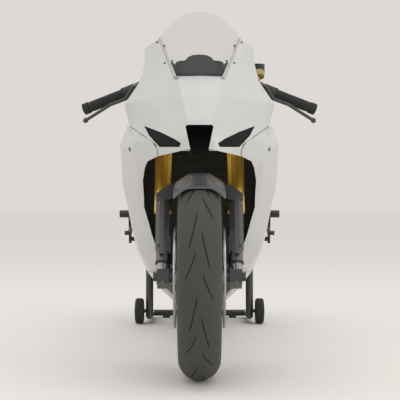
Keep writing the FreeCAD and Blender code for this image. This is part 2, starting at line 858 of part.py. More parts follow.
# The fork guard's section round the leg, in shares of the tube's radius, outside and then inside its wall.
GUARD_SHARES = ((-0.81, -0.15), (-0.81, -0.85), (-0.23, -1.27), (0.31, -1.27), (0.77, -0.77), (0.77, -0.15))
GUARD_INNER_SHARES = ((-0.65, -0.1), (-0.65, -0.77), (-0.17, -1.12), (0.25, -1.12), (0.62, -0.69), (0.62, -0.1))


def guard_section(shares):
    places = [V(S.fork_half + S.fork_tube_radius * x, S.fork_tube_radius * y - S.fork_offset, S.guard_bottom)
              for x, y in shares]
    return Part.Face(Part.makePolygon(places + places[:1]))


def fork_guard():
    """A faceted channel ahead of the leg, with a narrowed foot and a shoulder that carries it on the fender."""
    height = S.guard_top - S.guard_bottom
    channel = guard_section(GUARD_SHARES).extrude(V(0, 0, height))
    hollow = guard_section(GUARD_INNER_SHARES).extrude(V(0, 0, height))
    wide = S.fork_tube_radius
    foot = side_cut([(S.fork_half - wide, S.guard_bottom + wide), (S.fork_half - wide / 3, S.guard_bottom),
                     (S.fork_half + wide / 3, S.guard_bottom), (S.fork_half + wide, S.guard_bottom + wide),
                     (S.fork_half + wide, S.guard_top), (S.fork_half - wide, S.guard_top)], 6 * wide)
    crown = S.front_radius + S.fender_gap
    web = side_cut([
        (S.fender_half - S.fender_wall, crown - S.overrun), (S.fender_half + S.overrun, crown - 2 * S.fender_gap),
        (S.fork_half + wide * 0.77, S.guard_top), (S.fork_half + wide * 0.77, S.guard_top - 2 * S.overrun),
        (S.fork_half - wide * 0.81, S.guard_top - 2 * S.overrun), (S.fender_half - S.fender_wall, S.guard_top)],
        wide / 2)
    web.translate(V(0, -S.fork_offset - wide * 1.27 + wide / 4, 0))
    return channel.cut(hollow).common(foot).fuse(web)


def side_cut(points, reach):
    """A face of X and height, pulled along Y to either side of the axis."""
    wire = Part.makePolygon([V(x, -reach / 2, z) for x, z in points + points[:1]])
    return Part.Face(wire).extrude(V(0, reach, 0))


def make_fender():
    frame = steering_frame()
    crown = S.front_radius + S.fender_gap
    inner = S.fender_half - S.fender_wall
    wall = S.fender_wall
    low = crown - S.fender_skirt
    brow = crown + S.fender_gap
    profile = Part.makePolygon([V(x, 0, r) for x, r in (
        (inner, low), (inner, crown - wall), (inner / 2, brow - wall), (-inner / 2, brow - wall),
        (-inner, crown - wall), (-inner, low), (-inner - wall, low), (-inner - wall, crown),
        (-inner / 2, brow), (inner / 2, brow), (inner + wall, crown), (inner + wall, low), (inner, low))])
    face = Part.Face(profile)
    face.rotate(V(), V(1, 0, 0), S.fender_front_angle)
    shell = face.revolve(V(), V(1, 0, 0), -S.fender_front_angle - S.fender_rear_angle)
    shell.translate(V(0, -S.fork_offset, 0))
    arch = solid("fender_arch", shell)
    guard = solid("fork_guard_whole", fork_guard())
    rooms = [
        fork_rod("guard_tube_room", "fork_tube_radius + guard_clear", "fork_tube_bottom - running_gap", "guard_top"),
        fork_rod("guard_leg_room", "fork_leg_radius + guard_clear", "0", "guard_top"),
    ]
    side = less("fork_guard", guard, rooms)
    keep(fused("front_fender_shape", [arch, side, mirrored("fender_side_twin", side)]), "front_fender", frame)


def make_calipers():
    frame = steering_frame()
    body = block("caliper_body", ("caliper_width", "caliper_depth", "caliper_height"),
                 ("disc_half_gap", "%s + caliper_back" % FORK_Y, "caliper_up"))
    slot = cross_rod("caliper_slot_cut", "disc_radius + caliper_slot", "disc_thickness + 2 * caliper_slot",
                     ("disc_half_gap", FORK_Y, "0"))
    keep(both_sides("brake_calipers_shape", less("caliper", chamfered("caliper_round", body, "overrun / 2"), [slot])),
         "brake_calipers", frame)


def box_ring(y, left, right, low, high):
    """A rectangle across the bike at y."""
    corners = [V(left, y, low), V(right, y, low), V(right, y, high), V(left, y, high)]
    return Part.makePolygon(corners + corners[:1])


def ruled(rings):
    return Part.makeLoft(rings, True, True)


def oval_ring(y, half, low, high, shoulder=0.62):
    """A faceted section across the bike at y, flat below and crowned above."""
    height = high - low
    shares = ((0, 0), (0.8, 0.02), (1, 0.25), (0.96, shoulder), (0.62, 0.93), (0, 1))
    right = [V(half * across, y, low + height * up) for across, up in shares]
    left = [V(-point.x, y, point.z) for point in reversed(right[1:-1])]
    return Part.makePolygon(right + left + right[:1])


def head_tube():
    foot = V(0, S.fork_offset * S.cos_rake, S.front_radius - S.fork_offset * S.sin_rake)
    axis = V(0, S.sin_rake, S.cos_rake)
    tube = Part.makeCylinder(S.head_tube_radius, S.head_top - S.head_bottom, foot + axis * S.head_bottom, axis)
    bore = Part.makeCylinder(S.stem_radius + S.running_gap, S.head_top + S.overrun, foot, axis)
    return tube, bore


def make_frame():
    half = S.spar_width / 2
    neck = S.spar_neck_width / 2
    rings = [
        box_ring(S.spar_neck_y, S.spar_neck_half - neck, S.spar_neck_half + neck, S.spar_neck_low, S.spar_neck_high),
        box_ring(S.spar_throat_y, S.spar_neck_half, S.spar_neck_half + 2 * neck, S.spar_neck_low - neck,
                 S.spar_neck_high - neck),
        box_ring(S.spar_bend_y, S.spar_half - 3 * half, S.spar_half - half, S.spar_bend_low, S.spar_bend_high),
        box_ring(S.spar_mid_y, S.spar_half - half, S.spar_half + half, S.spar_mid_low, S.spar_mid_high),
        box_ring(S.spar_rear_y, S.spar_half - half, S.spar_half + half, S.spar_rear_low, S.spar_rear_high),
        box_ring(S.spar_end_y, S.spar_half - half, S.spar_half + half, S.spar_end_low, S.spar_end_high),
    ]
    spar = ruled(rings)
    tube, bore = head_tube()
    stay = S.frame_stay_radius
    head_y = S.spar_neck_y
    nose_y = inner_face(fairing_shell(), 0, S.frame_stay_z + stay) + 3 * S.running_gap
    arm = Part.makeCylinder(stay, head_y - nose_y, V(0, nose_y, S.frame_stay_z), V(0, 1, 0))
    whole = tube.fuse([spar, spar.mirror(V(), V(1, 0, 0)), arm]).cut(bore)
    pivot = Part.makeCylinder(S.pivot_radius / 2, 4 * S.spar_half, V(-2 * S.spar_half, S.pivot_y, S.pivot_z), V(1, 0, 0))
    keep(solid("main_frame_shape", whole.cut(pivot).removeSplitter()), "main_frame", road_frame())


def make_swingarm():
    frame = road_frame()
    half = S.arm_width / 2
    inner = S.arm_box_half - S.arm_width
    end_low = S.rear_z - S.arm_end_height / 2
    end_high = S.rear_z + S.arm_end_height / 2
    middle_y = (S.arm_box_rear + S.spool_y) / 2
    arm = ruled([
        box_ring(S.arm_box_rear - S.overrun, inner, S.arm_box_half, S.arm_box_low, S.arm_box_high),
        box_ring(middle_y, S.arm_half - half, S.arm_half + half, S.arm_box_low - S.overrun, S.arm_box_high - S.overrun),
        box_ring(S.spool_y, S.arm_half - half, S.arm_half + half, end_low, end_high + S.overrun),
        box_ring(S.arm_end_y, S.arm_half - half, S.arm_half + half, end_low, end_high),
    ])
    depth = S.arm_box_rear - S.arm_box_front
    box = Part.makeBox(2 * S.arm_box_half, depth, S.arm_box_high - S.arm_box_low,
                       V(-S.arm_box_half, S.arm_box_front, S.arm_box_low))
    neck_half = S.pivot_half - S.pivot_radius
    neck = Part.makeBox(2 * neck_half, S.arm_box_front - S.pivot_y + S.overrun, S.pivot_radius * 2,
                        V(-neck_half, S.pivot_y, S.pivot_z - S.pivot_radius))
    tube = Part.makeCylinder(S.pivot_radius, 2 * S.pivot_half, V(-S.pivot_half, S.pivot_y, S.pivot_z), V(1, 0, 0))
    spool = Part.makeCylinder(S.spool_radius, S.spool_end_x - S.arm_half, V(S.arm_half, S.spool_y, S.spool_z), V(1, 0, 0))
    spools = [spool, spool.mirror(V(), V(1, 0, 0))]
    whole = box.fuse([neck, tube, arm, arm.mirror(V(), V(1, 0, 0))] + spools)
    axle = Part.makeCylinder(S.rear_axle_radius + S.running_gap, 4 * S.arm_half,
                             V(-2 * S.arm_half, S.wheelbase, S.rear_z), V(1, 0, 0))
    bolt = Part.makeCylinder(S.pivot_radius / 2, 4 * S.arm_half, V(-2 * S.arm_half, S.pivot_y, S.pivot_z), V(1, 0, 0))
    keep(solid("swingarm_shape", whole.cut([axle, bolt]).removeSplitter()), "swingarm", frame)
    reach = 2 * (S.spar_half + S.spar_width / 2)
    pin = Part.makeCylinder(S.pivot_radius / 2 - S.running_gap, reach, V(-reach / 2, S.pivot_y, S.pivot_z), V(1, 0, 0))
    keep(solid("pivot_shaft_shape", pin), "pivot_shaft", frame)


def make_rear_axle():
    frame = rear_wheel_frame()
    reach = "2 * arm_half + 2 * arm_width"
    axle = cross_rod("rear_axle_rod", "rear_axle_radius", reach)
    arm_face = "(arm_half - arm_width / 2 - running_gap)"
    left_face = "(chain_x + sprocket_thickness / 2 + running_gap)"
    right_face = "(rear_disc_x + disc_thickness / 2 + running_gap)"
    left = cross_rod("rear_collar_left", "rear_axle_radius + rim_wall", "%s - %s" % (arm_face, left_face),
                     ("(%s + %s) / 2" % (arm_face, left_face), "0", "0"))
    right = cross_rod("rear_collar_right", "rear_axle_radius + rim_wall", "%s - %s" % (arm_face, right_face),
                      ("-(%s + %s) / 2" % (arm_face, right_face), "0", "0"))
    keep(fused("rear_axle_shape", [axle, left, right]), "rear_axle", frame)
    place = ("-rear_disc_x", "0", "rear_caliper_reach")
    body = block("rear_caliper_body", ("caliper_width", "caliper_height", "caliper_depth"), place)
    slot = cross_rod("rear_caliper_slot", "rear_disc_radius + caliper_slot", "disc_thickness + 2 * caliper_slot",
                     ("-rear_disc_x", "0", "0"))
    hanger = block("rear_caliper_hanger", ("rim_wall", "caliper_depth", "rear_caliper_reach"),
                   ("-rear_disc_x - caliper_width / 2 + rim_wall / 2", "0", "rear_caliper_reach / 2"))
    ring = cross_rod("rear_caliper_ring", "rear_axle_radius + 3 * rim_wall", "rim_wall",
                     ("-rear_disc_x - caliper_width / 2 + rim_wall / 2", "0", "0"))
    room = cross_rod("rear_caliper_room", "rear_axle_radius + rim_wall + running_gap", "4 * arm_half")
    keep(less("rear_caliper_shape", fused("rear_caliper_whole", [body, hanger, ring]), [slot, room]),
         "rear_caliper", frame)


def make_engine():
    frame = road_frame()

    def case(name, half, front, rear, low, high):
        size = ("2 * " + half, "(%s) - (%s)" % (rear, front), "(%s) - (%s)" % (high, low))
        return block(name, size, ("0", "(%s + %s) / 2" % (front, rear), "(%s + %s) / 2" % (low, high)))

    crank = case("crankcase", "crank_half", "crank_front", "crank_rear", "crank_low", "crank_high")
    top = case("cylinder_block", "head_half", "head_front", "head_rear", "crank_high - engine_round * 2", "engine_high")
    gears = case("gearbox", "gearbox_half", "crank_rear - engine_round * 2", "gearbox_rear", "crank_low", "crank_high")
    shaft = rod("output_shaft", "stem_radius", "chain_x - chain_width / 2 - gearbox_half",
                ("gearbox_half", "front_sprocket_y", "pivot_z"), "x")
    cases = [chamfered(item.Name + "_round", item, "engine_round") for item in (crank, top, gears)]
    keep(fused("engine_block_shape", cases + [shaft]), "engine_block", frame)
    core = solid("radiator_core", prism(mirror_x(radiator_outline()), S.radiator_front,
                                        S.radiator_front + S.radiator_depth))
    gap = "head_front - radiator_front - radiator_depth"
    pin = rod("radiator_pin", "toe_radius", gap,
              ("header_spacing * 1.2", "radiator_front + radiator_depth", "engine_high - 2 * engine_round"), "y")
    keep(fused("radiator_shape", [core, both_sides("radiator_pins", pin)]), "radiator", frame)


def radiator_outline():
    """The right half of the radiator in front view, wide behind the fork and narrow behind the wheel."""
    corner = 2 * S.engine_round
    return [
        (0, S.radiator_low),
        (S.radiator_foot - corner, S.radiator_low),
        (S.radiator_foot, S.radiator_low + corner / 2),
        (S.radiator_waist, S.radiator_chin_z),
        (S.radiator_half, S.radiator_waist_z),
        (S.radiator_half, S.radiator_high - 2 * corner),
        (S.radiator_half - corner, S.radiator_high - corner / 2),
        (S.radiator_half - 2 * corner, S.radiator_high),
        (0, S.radiator_high),
    ]


def make_exhaust():
    frame = road_frame()
    pipes = []
    for i, share in enumerate((-1.5, -0.5, 0.5, 1.5)):
        x = "header_spacing * %s" % share
        places = [
            (x, "head_front", "header_port_z"),
            (x, "header_y", "header_port_z - header_radius * 2"),
            (x, "header_y", "crank_low + header_radius * 3"),
            (x, "header_y + header_radius * 2", "collector_z + header_radius"),
            ("0", "collector_y", "collector_z"),
        ]
        pipes.append(bent_bar("header_%d" % i, "header_radius", places))
    tail = bent_bar("collector", "collector_radius", [
        ("0", "collector_y - collector_radius", "collector_z"),
        ("-collector_radius", "gearbox_rear", "collector_z"),
        ("-silencer_start_x", "silencer_start_y", "silencer_start_z"),
    ])
    engine = unplaced("engine_room", "engine_block", frame)
    keep(less("exhaust_headers_shape", fused("headers_whole", pipes + [tail]), [engine]), "exhaust_headers", frame)
    start = ("-silencer_start_x", "silencer_start_y", "silencer_start_z")
    end = ("-silencer_end_x", "silencer_end_y", "silencer_end_z")
    can = strut("silencer_can", "silencer_radius", start, end)
    keep(less("silencer_shape", can, [unplaced("header_room", "exhaust_headers", frame)]), "silencer", frame)


def make_chain():
    frame = road_frame()
    front = V(0, S.front_sprocket_y, S.pivot_z)
    rear = V(0, S.wheelbase, S.rear_z)
    inner_front = S.front_sprocket_radius + S.running_gap
    inner_rear = S.sprocket_radius + S.running_gap
    outer = belt(front, rear, inner_front + S.chain_height, inner_rear + S.chain_height)
    inner = belt(front, rear, inner_front, inner_rear)
    ring = outer.cut(inner)
    ring.translate(V(S.chain_x - S.chain_width / 2, 0, 0))
    keep(solid("drive_chain_shape", ring.extrude(V(S.chain_width, 0, 0))), "drive_chain", frame)
    plate = cross_rod("front_sprocket_plate", "front_sprocket_radius", "sprocket_thickness",
                      ("chain_x", "front_sprocket_y", "pivot_z"))
    stub = rod("front_sprocket_stub", "stem_radius", "chain_width / 2",
               ("chain_x - chain_width / 2", "front_sprocket_y", "pivot_z"), "x")
    keep(fused("front_sprocket_shape", [plate, stub]), "front_sprocket", frame)


def belt(front, rear, front_radius, rear_radius):
    """The face inside a belt round two wheels in the plane X = 0."""
    span = rear - front
    slope = math.asin((rear_radius - front_radius) / span.Length)
    along = V(span).normalize()
    up = V(0, -along.z, along.y)
    high = (up * math.cos(slope)) - (along * math.sin(slope))
    low = (up * -math.cos(slope)) - (along * math.sin(slope))
    points = [front + high * front_radius, rear + high * rear_radius, rear + low * rear_radius, front + low * front_radius]
    edges = [
        Part.LineSegment(points[0], points[1]).toShape(),
        Part.Arc(points[1], rear + along * rear_radius, points[2]).toShape(),
        Part.LineSegment(points[2], points[3]).toShape(),
        Part.Arc(points[3], front - along * front_radius, points[0]).toShape(),
    ]
    return Part.Face(Part.Wire(edges))


def make_seat_and_tank():
    frame = road_frame()
    length = S.tank_rear - S.tank_front
    rise = S.tank_high - S.tank_low_rear
    rings = []
    for along, half, low, high in ((0, 0.52, 0, 0.45), (0.16, 0.86, 0, 0.84), (0.42, 1, 0, 1), (0.74, 0.84, 0, 0.82),
                                   (1, 0.52, 0, 0.42)):
        floor = S.tank_low_front + (S.tank_low_rear - S.tank_low_front) * along
        rings.append(oval_ring(S.tank_front + length * along, S.tank_half * half, floor,
                               S.tank_low_rear + rise * high))
    tank = add("Part::Feature", "tank_body")
    tank.Shape = Part.makeLoft(rings, True, True)
    keep(less("fuel_tank_shape", tank, [unplaced("tank_frame_room", "main_frame", frame)]), "fuel_tank", frame)
    start = S.tank_rear + S.running_gap
    length = S.seat_rear - start
    rings = [oval_ring(start + length * along, S.seat_half * half, S.seat_high - S.seat_thick, S.seat_high + S.seat_thick * up)
             for along, half, up in ((0, 0.5, 0), (0.4, 0.86, -0.1), (0.75, 1, 0), (1, 0.94, 0.2))]
    keep(solid("seat_pad_shape", Part.makeLoft(rings, True, True)), "seat_pad", frame)
    start = S.seat_rear + S.running_gap
    length = S.tail_end - start
    base = S.seat_high - S.seat_thick
    rise = S.tail_high - base
    rings = [oval_ring(start + length * along, S.tail_half * half, base + rise * low, base + rise * high)
             for along, half, low, high in ((0, 0.98, 0, 0.72), (0.3, 1, 0, 0.92), (0.65, 0.78, 0.2, 1), (1, 0.3, 0.62, 0.94))]
    keep(solid("tail_cowl_shape", Part.makeLoft(rings, True, True)), "tail_cowl", frame)


def make_subframe():
    frame = road_frame()
    rail_x = "spar_half - subframe_radius"
    seat_low = "seat_high - seat_thick - subframe_radius - running_gap"
    end_y = "(seat_rear + tail_end) / 2"
    upper = bent_bar("subframe_rail", "subframe_radius", [
        (rail_x, "spar_mid_y + spar_width * 2", "spar_mid_high - subframe_radius * 2"),
        ("seat_half * 0.62", "tank_rear", "tank_low_rear - subframe_radius * 2"),
        ("seat_half * 0.62", "seat_rear", seat_low),
        ("seat_half * 0.62", end_y, seat_low),
    ])
    lower = bent_bar("subframe_strut", "subframe_radius", [
        (rail_x, "spar_rear_y - subframe_radius", "spar_rear_high - subframe_radius"),
        (rail_x, "shock_top_y", "shock_top_z"),
        ("seat_half * 0.62", end_y, seat_low),
    ])
    cross = cross_rod("shock_mount", "subframe_radius", "2 * (%s)" % rail_x, ("0", "shock_top_y", "shock_top_z"))
    rooms = [unplaced("subframe_%s_room" % label, label, frame) for label in ("main_frame", "tail_cowl", "fuel_tank")]
    side = fused("subframe_side", [upper, lower])
    whole = fused("subframe_whole", [side, mirrored("subframe_side_twin", side), cross])
    keep(less("subframe_shape", whole, rooms), "subframe", frame)
    base = ("0", "shock_base_y", "arm_box_high - overrun")
    damper = strut("shock_body", "shock_radius", base, ("0", "shock_top_y", "shock_top_z"))
    rooms = [unplaced("shock_%s_room" % label, label, frame) for label in ("swingarm", "subframe")]
    keep(less("rear_shock_shape", damper, rooms), "rear_shock", frame)


def make_rearsets():
    """Foot pegs and toe levers on plates that stand out from the frame's feet."""
    frame = road_frame()
    face = "(spar_half + spar_width / 2 + running_gap)"
    plate_x = S.hanger_x
    plate = Part.Face(Part.makePolygon([V(plate_x, S.peg_y + y, S.peg_z + z) for y, z in (
        (-S.hanger_front, S.hanger_top / 2), (0, S.hanger_top), (S.hanger_rear, S.hanger_top / 2),
        (S.hanger_rear / 2, -S.hanger_low), (-S.hanger_front / 3, -S.hanger_low),
        (-S.hanger_front, S.hanger_top / 2))])).extrude(V(S.hanger_width, 0, 0))
    hanger = solid("hanger_plate", plate)
    stays = [rod("hanger_stay_%d" % i, "toe_radius", "hanger_x + hanger_width / 2 - %s" % face, (face, y, z), "x")
             for i, (y, z) in enumerate((("peg_y", "spar_end_high - 2 * toe_radius"),
                                         ("peg_y", "peg_z - hanger_low + 2 * toe_radius")))]
    peg = rod("foot_peg", "peg_radius", "peg_end_x - hanger_x", ("hanger_x", "peg_y", "peg_z"), "x")
    lever_x = "hanger_x - toe_radius / 2"
    shank = bent_bar("toe_shank", "toe_radius", [
        (lever_x, "peg_y", "peg_z - 3 * peg_radius"),
        (lever_x, "toe_y", "toe_z"),
        ("toe_end_x + toe_radius", "toe_y", "toe_z"),
    ])
    whole = fused("rearset", [hanger, peg, shank] + stays)
    keep(both_sides("rearsets_shape", whole), "rearsets", frame)


def make_stand():
    frame = road_frame()
    gap = "running_gap"
    post_top = "(spool_z - spool_radius - %s - stand_tube_radius)" % gap
    side = bent_bar("stand_side", "stand_tube_radius", [
        ("cradle_x", "spool_y", post_top),
        ("stand_post_x", "spool_y", post_top),
        ("stand_post_x", "stand_wheel_y", "stand_low_z + brace_radius"),
        ("stand_post_x", "brace_y", "stand_low_z"),
    ])
    cradle = block("stand_cradle", ("cradle_width", "4 * spool_radius", "4 * spool_radius"),
                   ("cradle_x", "spool_y", "spool_z - spool_radius"))
    brace = rod("stand_brace", "brace_radius", "stand_post_x", ("0", "brace_y", "stand_low_z"), "x")
    foot = rod("stand_foot", "brace_radius + rim_wall / 2", "stand_low_z", ("stand_foot_x", "brace_y", "0"))
    axle = rod("stand_axle", "stand_axle_radius", "stand_wheel_x + stand_wheel_width / 2 - stand_post_x",
               ("stand_post_x", "stand_wheel_y", "stand_wheel_radius"), "x")
    room = rod("spool_room", "spool_radius + %s" % gap, "stand_post_x", ("arm_half", "spool_y", "spool_z"), "x")
    mouth = block("spool_mouth", ("stand_post_x", "2 * (spool_radius + %s)" % gap, "4 * spool_radius"),
                  ("cradle_x", "spool_y", "spool_z + 2 * spool_radius"))
    half = less("stand_half", fused("stand_half_whole", [side, cradle, brace, foot, axle]), [room, mouth])
    handle_y = "wheelbase + stand_reach - brace_radius"
    handle = strut("stand_handle", "brace_radius", ("0", "brace_y", "stand_low_z"),
                   ("0", handle_y, "stand_low_z + handle_rise"))
    grip = cross_rod("stand_grip", "brace_radius", "2 * handle_half", ("0", handle_y, "stand_low_z + handle_rise"))
    keep(fused("paddock_stand_shape", [half, mirrored("stand_half_twin", half), handle, grip]), "paddock_stand", frame)
    for label, sign in (("stand_wheel_left", ""), ("stand_wheel_right", "-")):
        place = (sign + "stand_wheel_x", "stand_wheel_y", "stand_wheel_radius")
        wheel = cross_rod(label + "_disc", "stand_wheel_radius", "stand_wheel_width", place)
        bore = cross_rod(label + "_bore", "stand_axle_radius + running_gap", "2 * stand_wheel_width", place)
        keep(less(label + "_shape", chamfered(label + "_broken", wheel, "stand_axle_radius / 2"), [bore]), label, frame)




# Each row: its height as a share of the fairing's, then places from the nose round to the rear edge, each a
# share of the half width and of the length behind the front axle.
FAIRING_SHARES = (
    (0.0, ((0, -0.1), (0.175, 0.16), (0.318, 0.38), (0.462, 0.47), (0.589, 0.586),
            (0.605, 0.72), (0.565, 0.86), (0.509, 1))),
    (0.1, ((0, -0.16), (0.229, 0.1), (0.423, 0.35), (0.599, 0.44), (0.74, 0.543),
            (0.758, 0.67), (0.705, 0.83), (0.634, 1))),
    (0.177, ((0, -0.2), (0.257, 0.03), (0.477, 0.26), (0.66, 0.35), (0.816, 0.486),
            (0.83, 0.63), (0.789, 0.8), (0.706, 1))),
    (0.287, ((0, -0.2), (0.274, -0.06), (0.51, 0.13), (0.717, 0.27), (0.878, 0.414),
            (0.887, 0.57), (0.84, 0.76), (0.765, 1))),
    (0.397, ((0, -0.2), (0.276, -0.12), (0.533, 0.02), (0.76, 0.14), (0.957, 0.307),
            (0.962, 0.5), (0.908, 0.71), (0.819, 1))),
    (0.463, ((0, -0.196), (0.15, -0.192), (0.467, -0.1), (0.765, 0.06), (0.983, 0.25),
            (0.988, 0.47), (0.923, 0.7), (0.824, 1))),
    (0.541, ((0, -0.2), (0.145, -0.196), (0.46, -0.115), (0.785, 0.045), (1, 0.236),
            (0.99, 0.457), (0.92, 0.69), (0.81, 1))),
    (0.608, ((0, -0.176), (0.149, -0.171), (0.432, -0.098), (0.716, 0.04), (0.897, 0.19),
            (0.902, 0.43), (0.828, 0.66), (0.735, 1))),
    (0.699, ((0, -0.115), (0.205, -0.106), (0.46, -0.04), (0.725, 0.054), (0.92, 0.154),
            (0.9, 0.4), (0.8, 0.64), (0.7, 1))),
    (0.785, ((0, -0.043), (0.258, -0.02), (0.423, 0.045), (0.591, 0.107), (0.742, 0.16),
            (0.729, 0.38), (0.658, 0.62), (0.569, 1))),
    (0.869, ((0, 0.1), (0.258, 0.1), (0.401, 0.131), (0.539, 0.16), (0.682, 0.2),
            (0.687, 0.4), (0.63, 0.62), (0.553, 1))),
    (0.96, ((0, 0.21), (0.246, 0.2), (0.397, 0.2), (0.539, 0.21), (0.685, 0.235),
            (0.68, 0.42), (0.624, 0.64), (0.529, 1))),
    (1.0, ((0, 0.25), (0.246, 0.24), (0.397, 0.225), (0.539, 0.225), (0.671, 0.25),
            (0.661, 0.44), (0.605, 0.66), (0.51, 1))),
)


def shifted(points, step):
    """A line moved inward by step, square to itself."""
    moved = []
    for i, point in enumerate(points):
        before = points[max(i - 1, 0)]
        after = points[min(i + 1, len(points) - 1)]
        across = V(after - before)
        moved.append(point + V(-across.y, across.x, 0).normalize() * step)
    return moved


def shell_row(points, wall, inset=0):
    """A closed thin section: a line through points, moved in by inset, and its copy a wall further in."""
    outer = shifted(points, inset)
    return Part.makePolygon(outer + shifted(points, inset + wall)[::-1] + outer[:1])


def fairing_shell(wall=None, inset=0):
    """The whole outer skin, from the nose round both sides, before its panels are parted."""
    rows = []
    for up, places in FAIRING_SHARES:
        z = S.fairing_low + (S.fairing_high - S.fairing_low) * up
        right = [V(S.fairing_half * across, S.fairing_length * along, z) for across, along in places]
        left = [V(-point.x, point.y, point.z) for point in reversed(right[1:])]
        rows.append(shell_row(left + right, wall or S.panel_wall, inset))
    return Part.makeLoft(rows, True, True)


def inner_face(shell, x, z):
    """How far back the skin's inner face lies at a place in front view."""
    far = 2 * S.fairing_length
    return Part.makeLine(V(x, -far, z), V(x, 0.6 * S.fairing_length, z)).common(shell).BoundBox.YMax


def outer_face(shell, x, z):
    far = 2 * S.fairing_length
    return Part.makeLine(V(x, -far, z), V(x, 0.6 * S.fairing_length, z)).common(shell).BoundBox.YMin


def prism(points, near, far):
    """A face in front view, from its X and Z places, pulled along the bike."""
    wire = Part.makePolygon([V(x, near, z) for x, z in points + points[:1]])
    return Part.Face(wire).extrude(V(0, far - near, 0))


def side_prism(points, reach):
    """A face in side view, from its Y and Z places, pulled across the bike."""
    wire = Part.makePolygon([V(-reach, y, z) for y, z in points + points[:1]])
    return Part.Face(wire).extrude(V(2 * reach, 0, 0))


def mirror_x(points):
    return points + [(-x, z) for x, z in reversed(points) if x > 0]


def nose_outline(gap):
    """The nose panel in front view, its seams moved out by gap."""
    wide = S.fairing_half + S.overrun
    return mirror_x([
        (0, S.arch_top_z - gap),
        (S.arch_lip_x, S.arch_top_z - gap),
        (S.arch_brow_x, S.arch_brow_z - gap),
        (S.seam_low_x + gap, S.seam_low_z - gap),
        (S.seam_low_x + gap, S.seam_step_z - gap),
        (S.seam_bend_x + gap, S.seam_bend_z - gap),
        (S.seam_high_x, S.seam_high_z - gap),
        (wide, S.seam_high_z - gap),
        (wide, S.ear_outer_z),
        (S.ear_outer_x, S.ear_outer_z),
        (S.ear_inner_x, S.ear_inner_z),
        (S.screen_shoulder_half, S.screen_shoulder_z),
        (S.screen_low_half, S.screen_low_z),
        (0, S.screen_low_z - S.screen_dip),
    ])


def eye_prism():
    """The slanted intake beside the nose, narrow at its outer top."""
    return prism([
        (S.eye_top_x, S.eye_top_z),
        (S.eye_side_x, S.eye_side_z),
        (S.eye_knee_x, S.eye_low_z),
        (S.eye_inner_x + S.overrun / 2, S.eye_low_z - S.overrun / 4),
        (S.eye_inner_x, S.eye_inner_z),
        (S.eye_brow_x, S.eye_brow_z),
        (S.eye_knee_x, S.eye_lid_z),
    ], -2 * S.nose_reach, 2 * S.nose_reach)


def intake_section(grown):
    """The central intake in front view: a keystone with broken upper corners."""
    corner = S.overrun / 2
    right = [
        (S.intake_low_half + grown, S.intake_low),
        (S.intake_half + grown, S.intake_high - corner + grown),
        (S.intake_half - corner + grown, S.intake_high + grown),
    ]
    return right + [(-x, z) for x, z in reversed(right)]


def mirrored_x(shape):
    return shape.mirror(V(), V(1, 0, 0))


def make_nose(shell):
    far = 2 * S.fairing_length
    back = side_prism([
        (-far, S.arch_corner_z), (S.nose_reach * 0.8, S.arch_corner_z), (S.nose_reach * 0.8, S.dash_low),
        (S.dash_rear, S.dash_low + 4 * S.overrun), (S.dash_rear, 2 * S.fairing_high), (-far, 2 * S.fairing_high)],
        2 * S.fairing_half)
    eye = eye_prism()
    mouth = prism(intake_section(0), -far, S.nose_reach / 2)
    nose = shell.common(prism(nose_outline(0), -far, far)).common(back).cut([mouth, eye, mirrored_x(eye)])
    keep(solid("nose_fairing_shape", nose), "nose_fairing", road_frame())


def make_liner():
    """The dark duct of the central intake and the plates behind the slanted ones."""
    far = 2 * S.fairing_length
    inset = S.panel_wall + S.running_gap
    plates = fairing_shell(S.liner_wall, inset)
    room = prism([
        (S.intake_low_half, S.liner_low), (S.liner_side, S.liner_low),
        (S.liner_side, S.liner_high), (S.intake_low_half, S.liner_high)], -far, S.nose_reach / 2)
    plates = plates.common(room)
    wall = S.liner_wall
    back = prism(intake_section(wall), -S.nose_reach, S.duct_rear)
    bore = prism(intake_section(0), -far, S.duct_rear - wall)
    whole = back.fuse([plates, mirrored_x(plates)]).cut([bore, fairing_shell(inset)])
    behind = max(whole.Solids, key=lambda part: part.Volume)
    keep(solid("nose_liner_shape", behind), "nose_liner", road_frame())


def make_fairing():
    shell = fairing_shell()
    make_nose(shell)
    make_liner()
    frame = road_frame()
    far = 2 * S.fairing_length
    side_view = side_prism([
        (-far, S.fairing_low), (far, S.fairing_low), (S.fairing_length * 0.92, S.fairing_low),
        (S.fairing_length * 0.96, S.arch_corner_z), (S.fairing_length * 0.78, S.arch_corner_z + 4 * S.overrun),
        (S.fairing_length * 0.5, S.arch_top_z + 4 * S.overrun), (S.nose_reach * 0.8, S.seam_high_z + 3 * S.overrun),
        (-far, S.seam_high_z + 3 * S.overrun)], 2 * S.fairing_half)
    arch = prism([
        (S.seam_low_x + S.seam_gap, 2 * S.arch_corner_z),
        (S.seam_low_x + S.seam_gap, S.seam_low_z),
        (S.arch_shoulder_x - S.overrun, S.arch_corner_z),
        (S.arch_shoulder_x, S.arch_shoulder_z),
        (S.arch_wide, S.arch_wide_high),
        (S.arch_wide, S.arch_wide_low),
        (S.arch_waist, S.arch_waist_z),
        (S.arch_chin, S.arch_chin_z),
        (S.arch_foot, S.fairing_low - S.overrun),
        (2 * S.fairing_half, S.fairing_low - S.overrun),
        (2 * S.fairing_half, 2 * S.arch_corner_z),
    ], -far, far)
    room = prism(nose_outline(S.seam_gap), -far, far)
    side = shell.common(arch).common(side_view).cut(room)
    keep(solid("side_fairing_left_shape", side), "side_fairing_left", frame)
    keep(solid("side_fairing_right_shape", mirrored_x(side)), "side_fairing_right", frame)


# The belly pan's half section, from its upper edge to its keel, in shares of its half width and height.
BELLY_SHARES = ((1, 1), (0.87, 0.68), (0.57, 0.23), (0.3, 0.03), (0, 0))


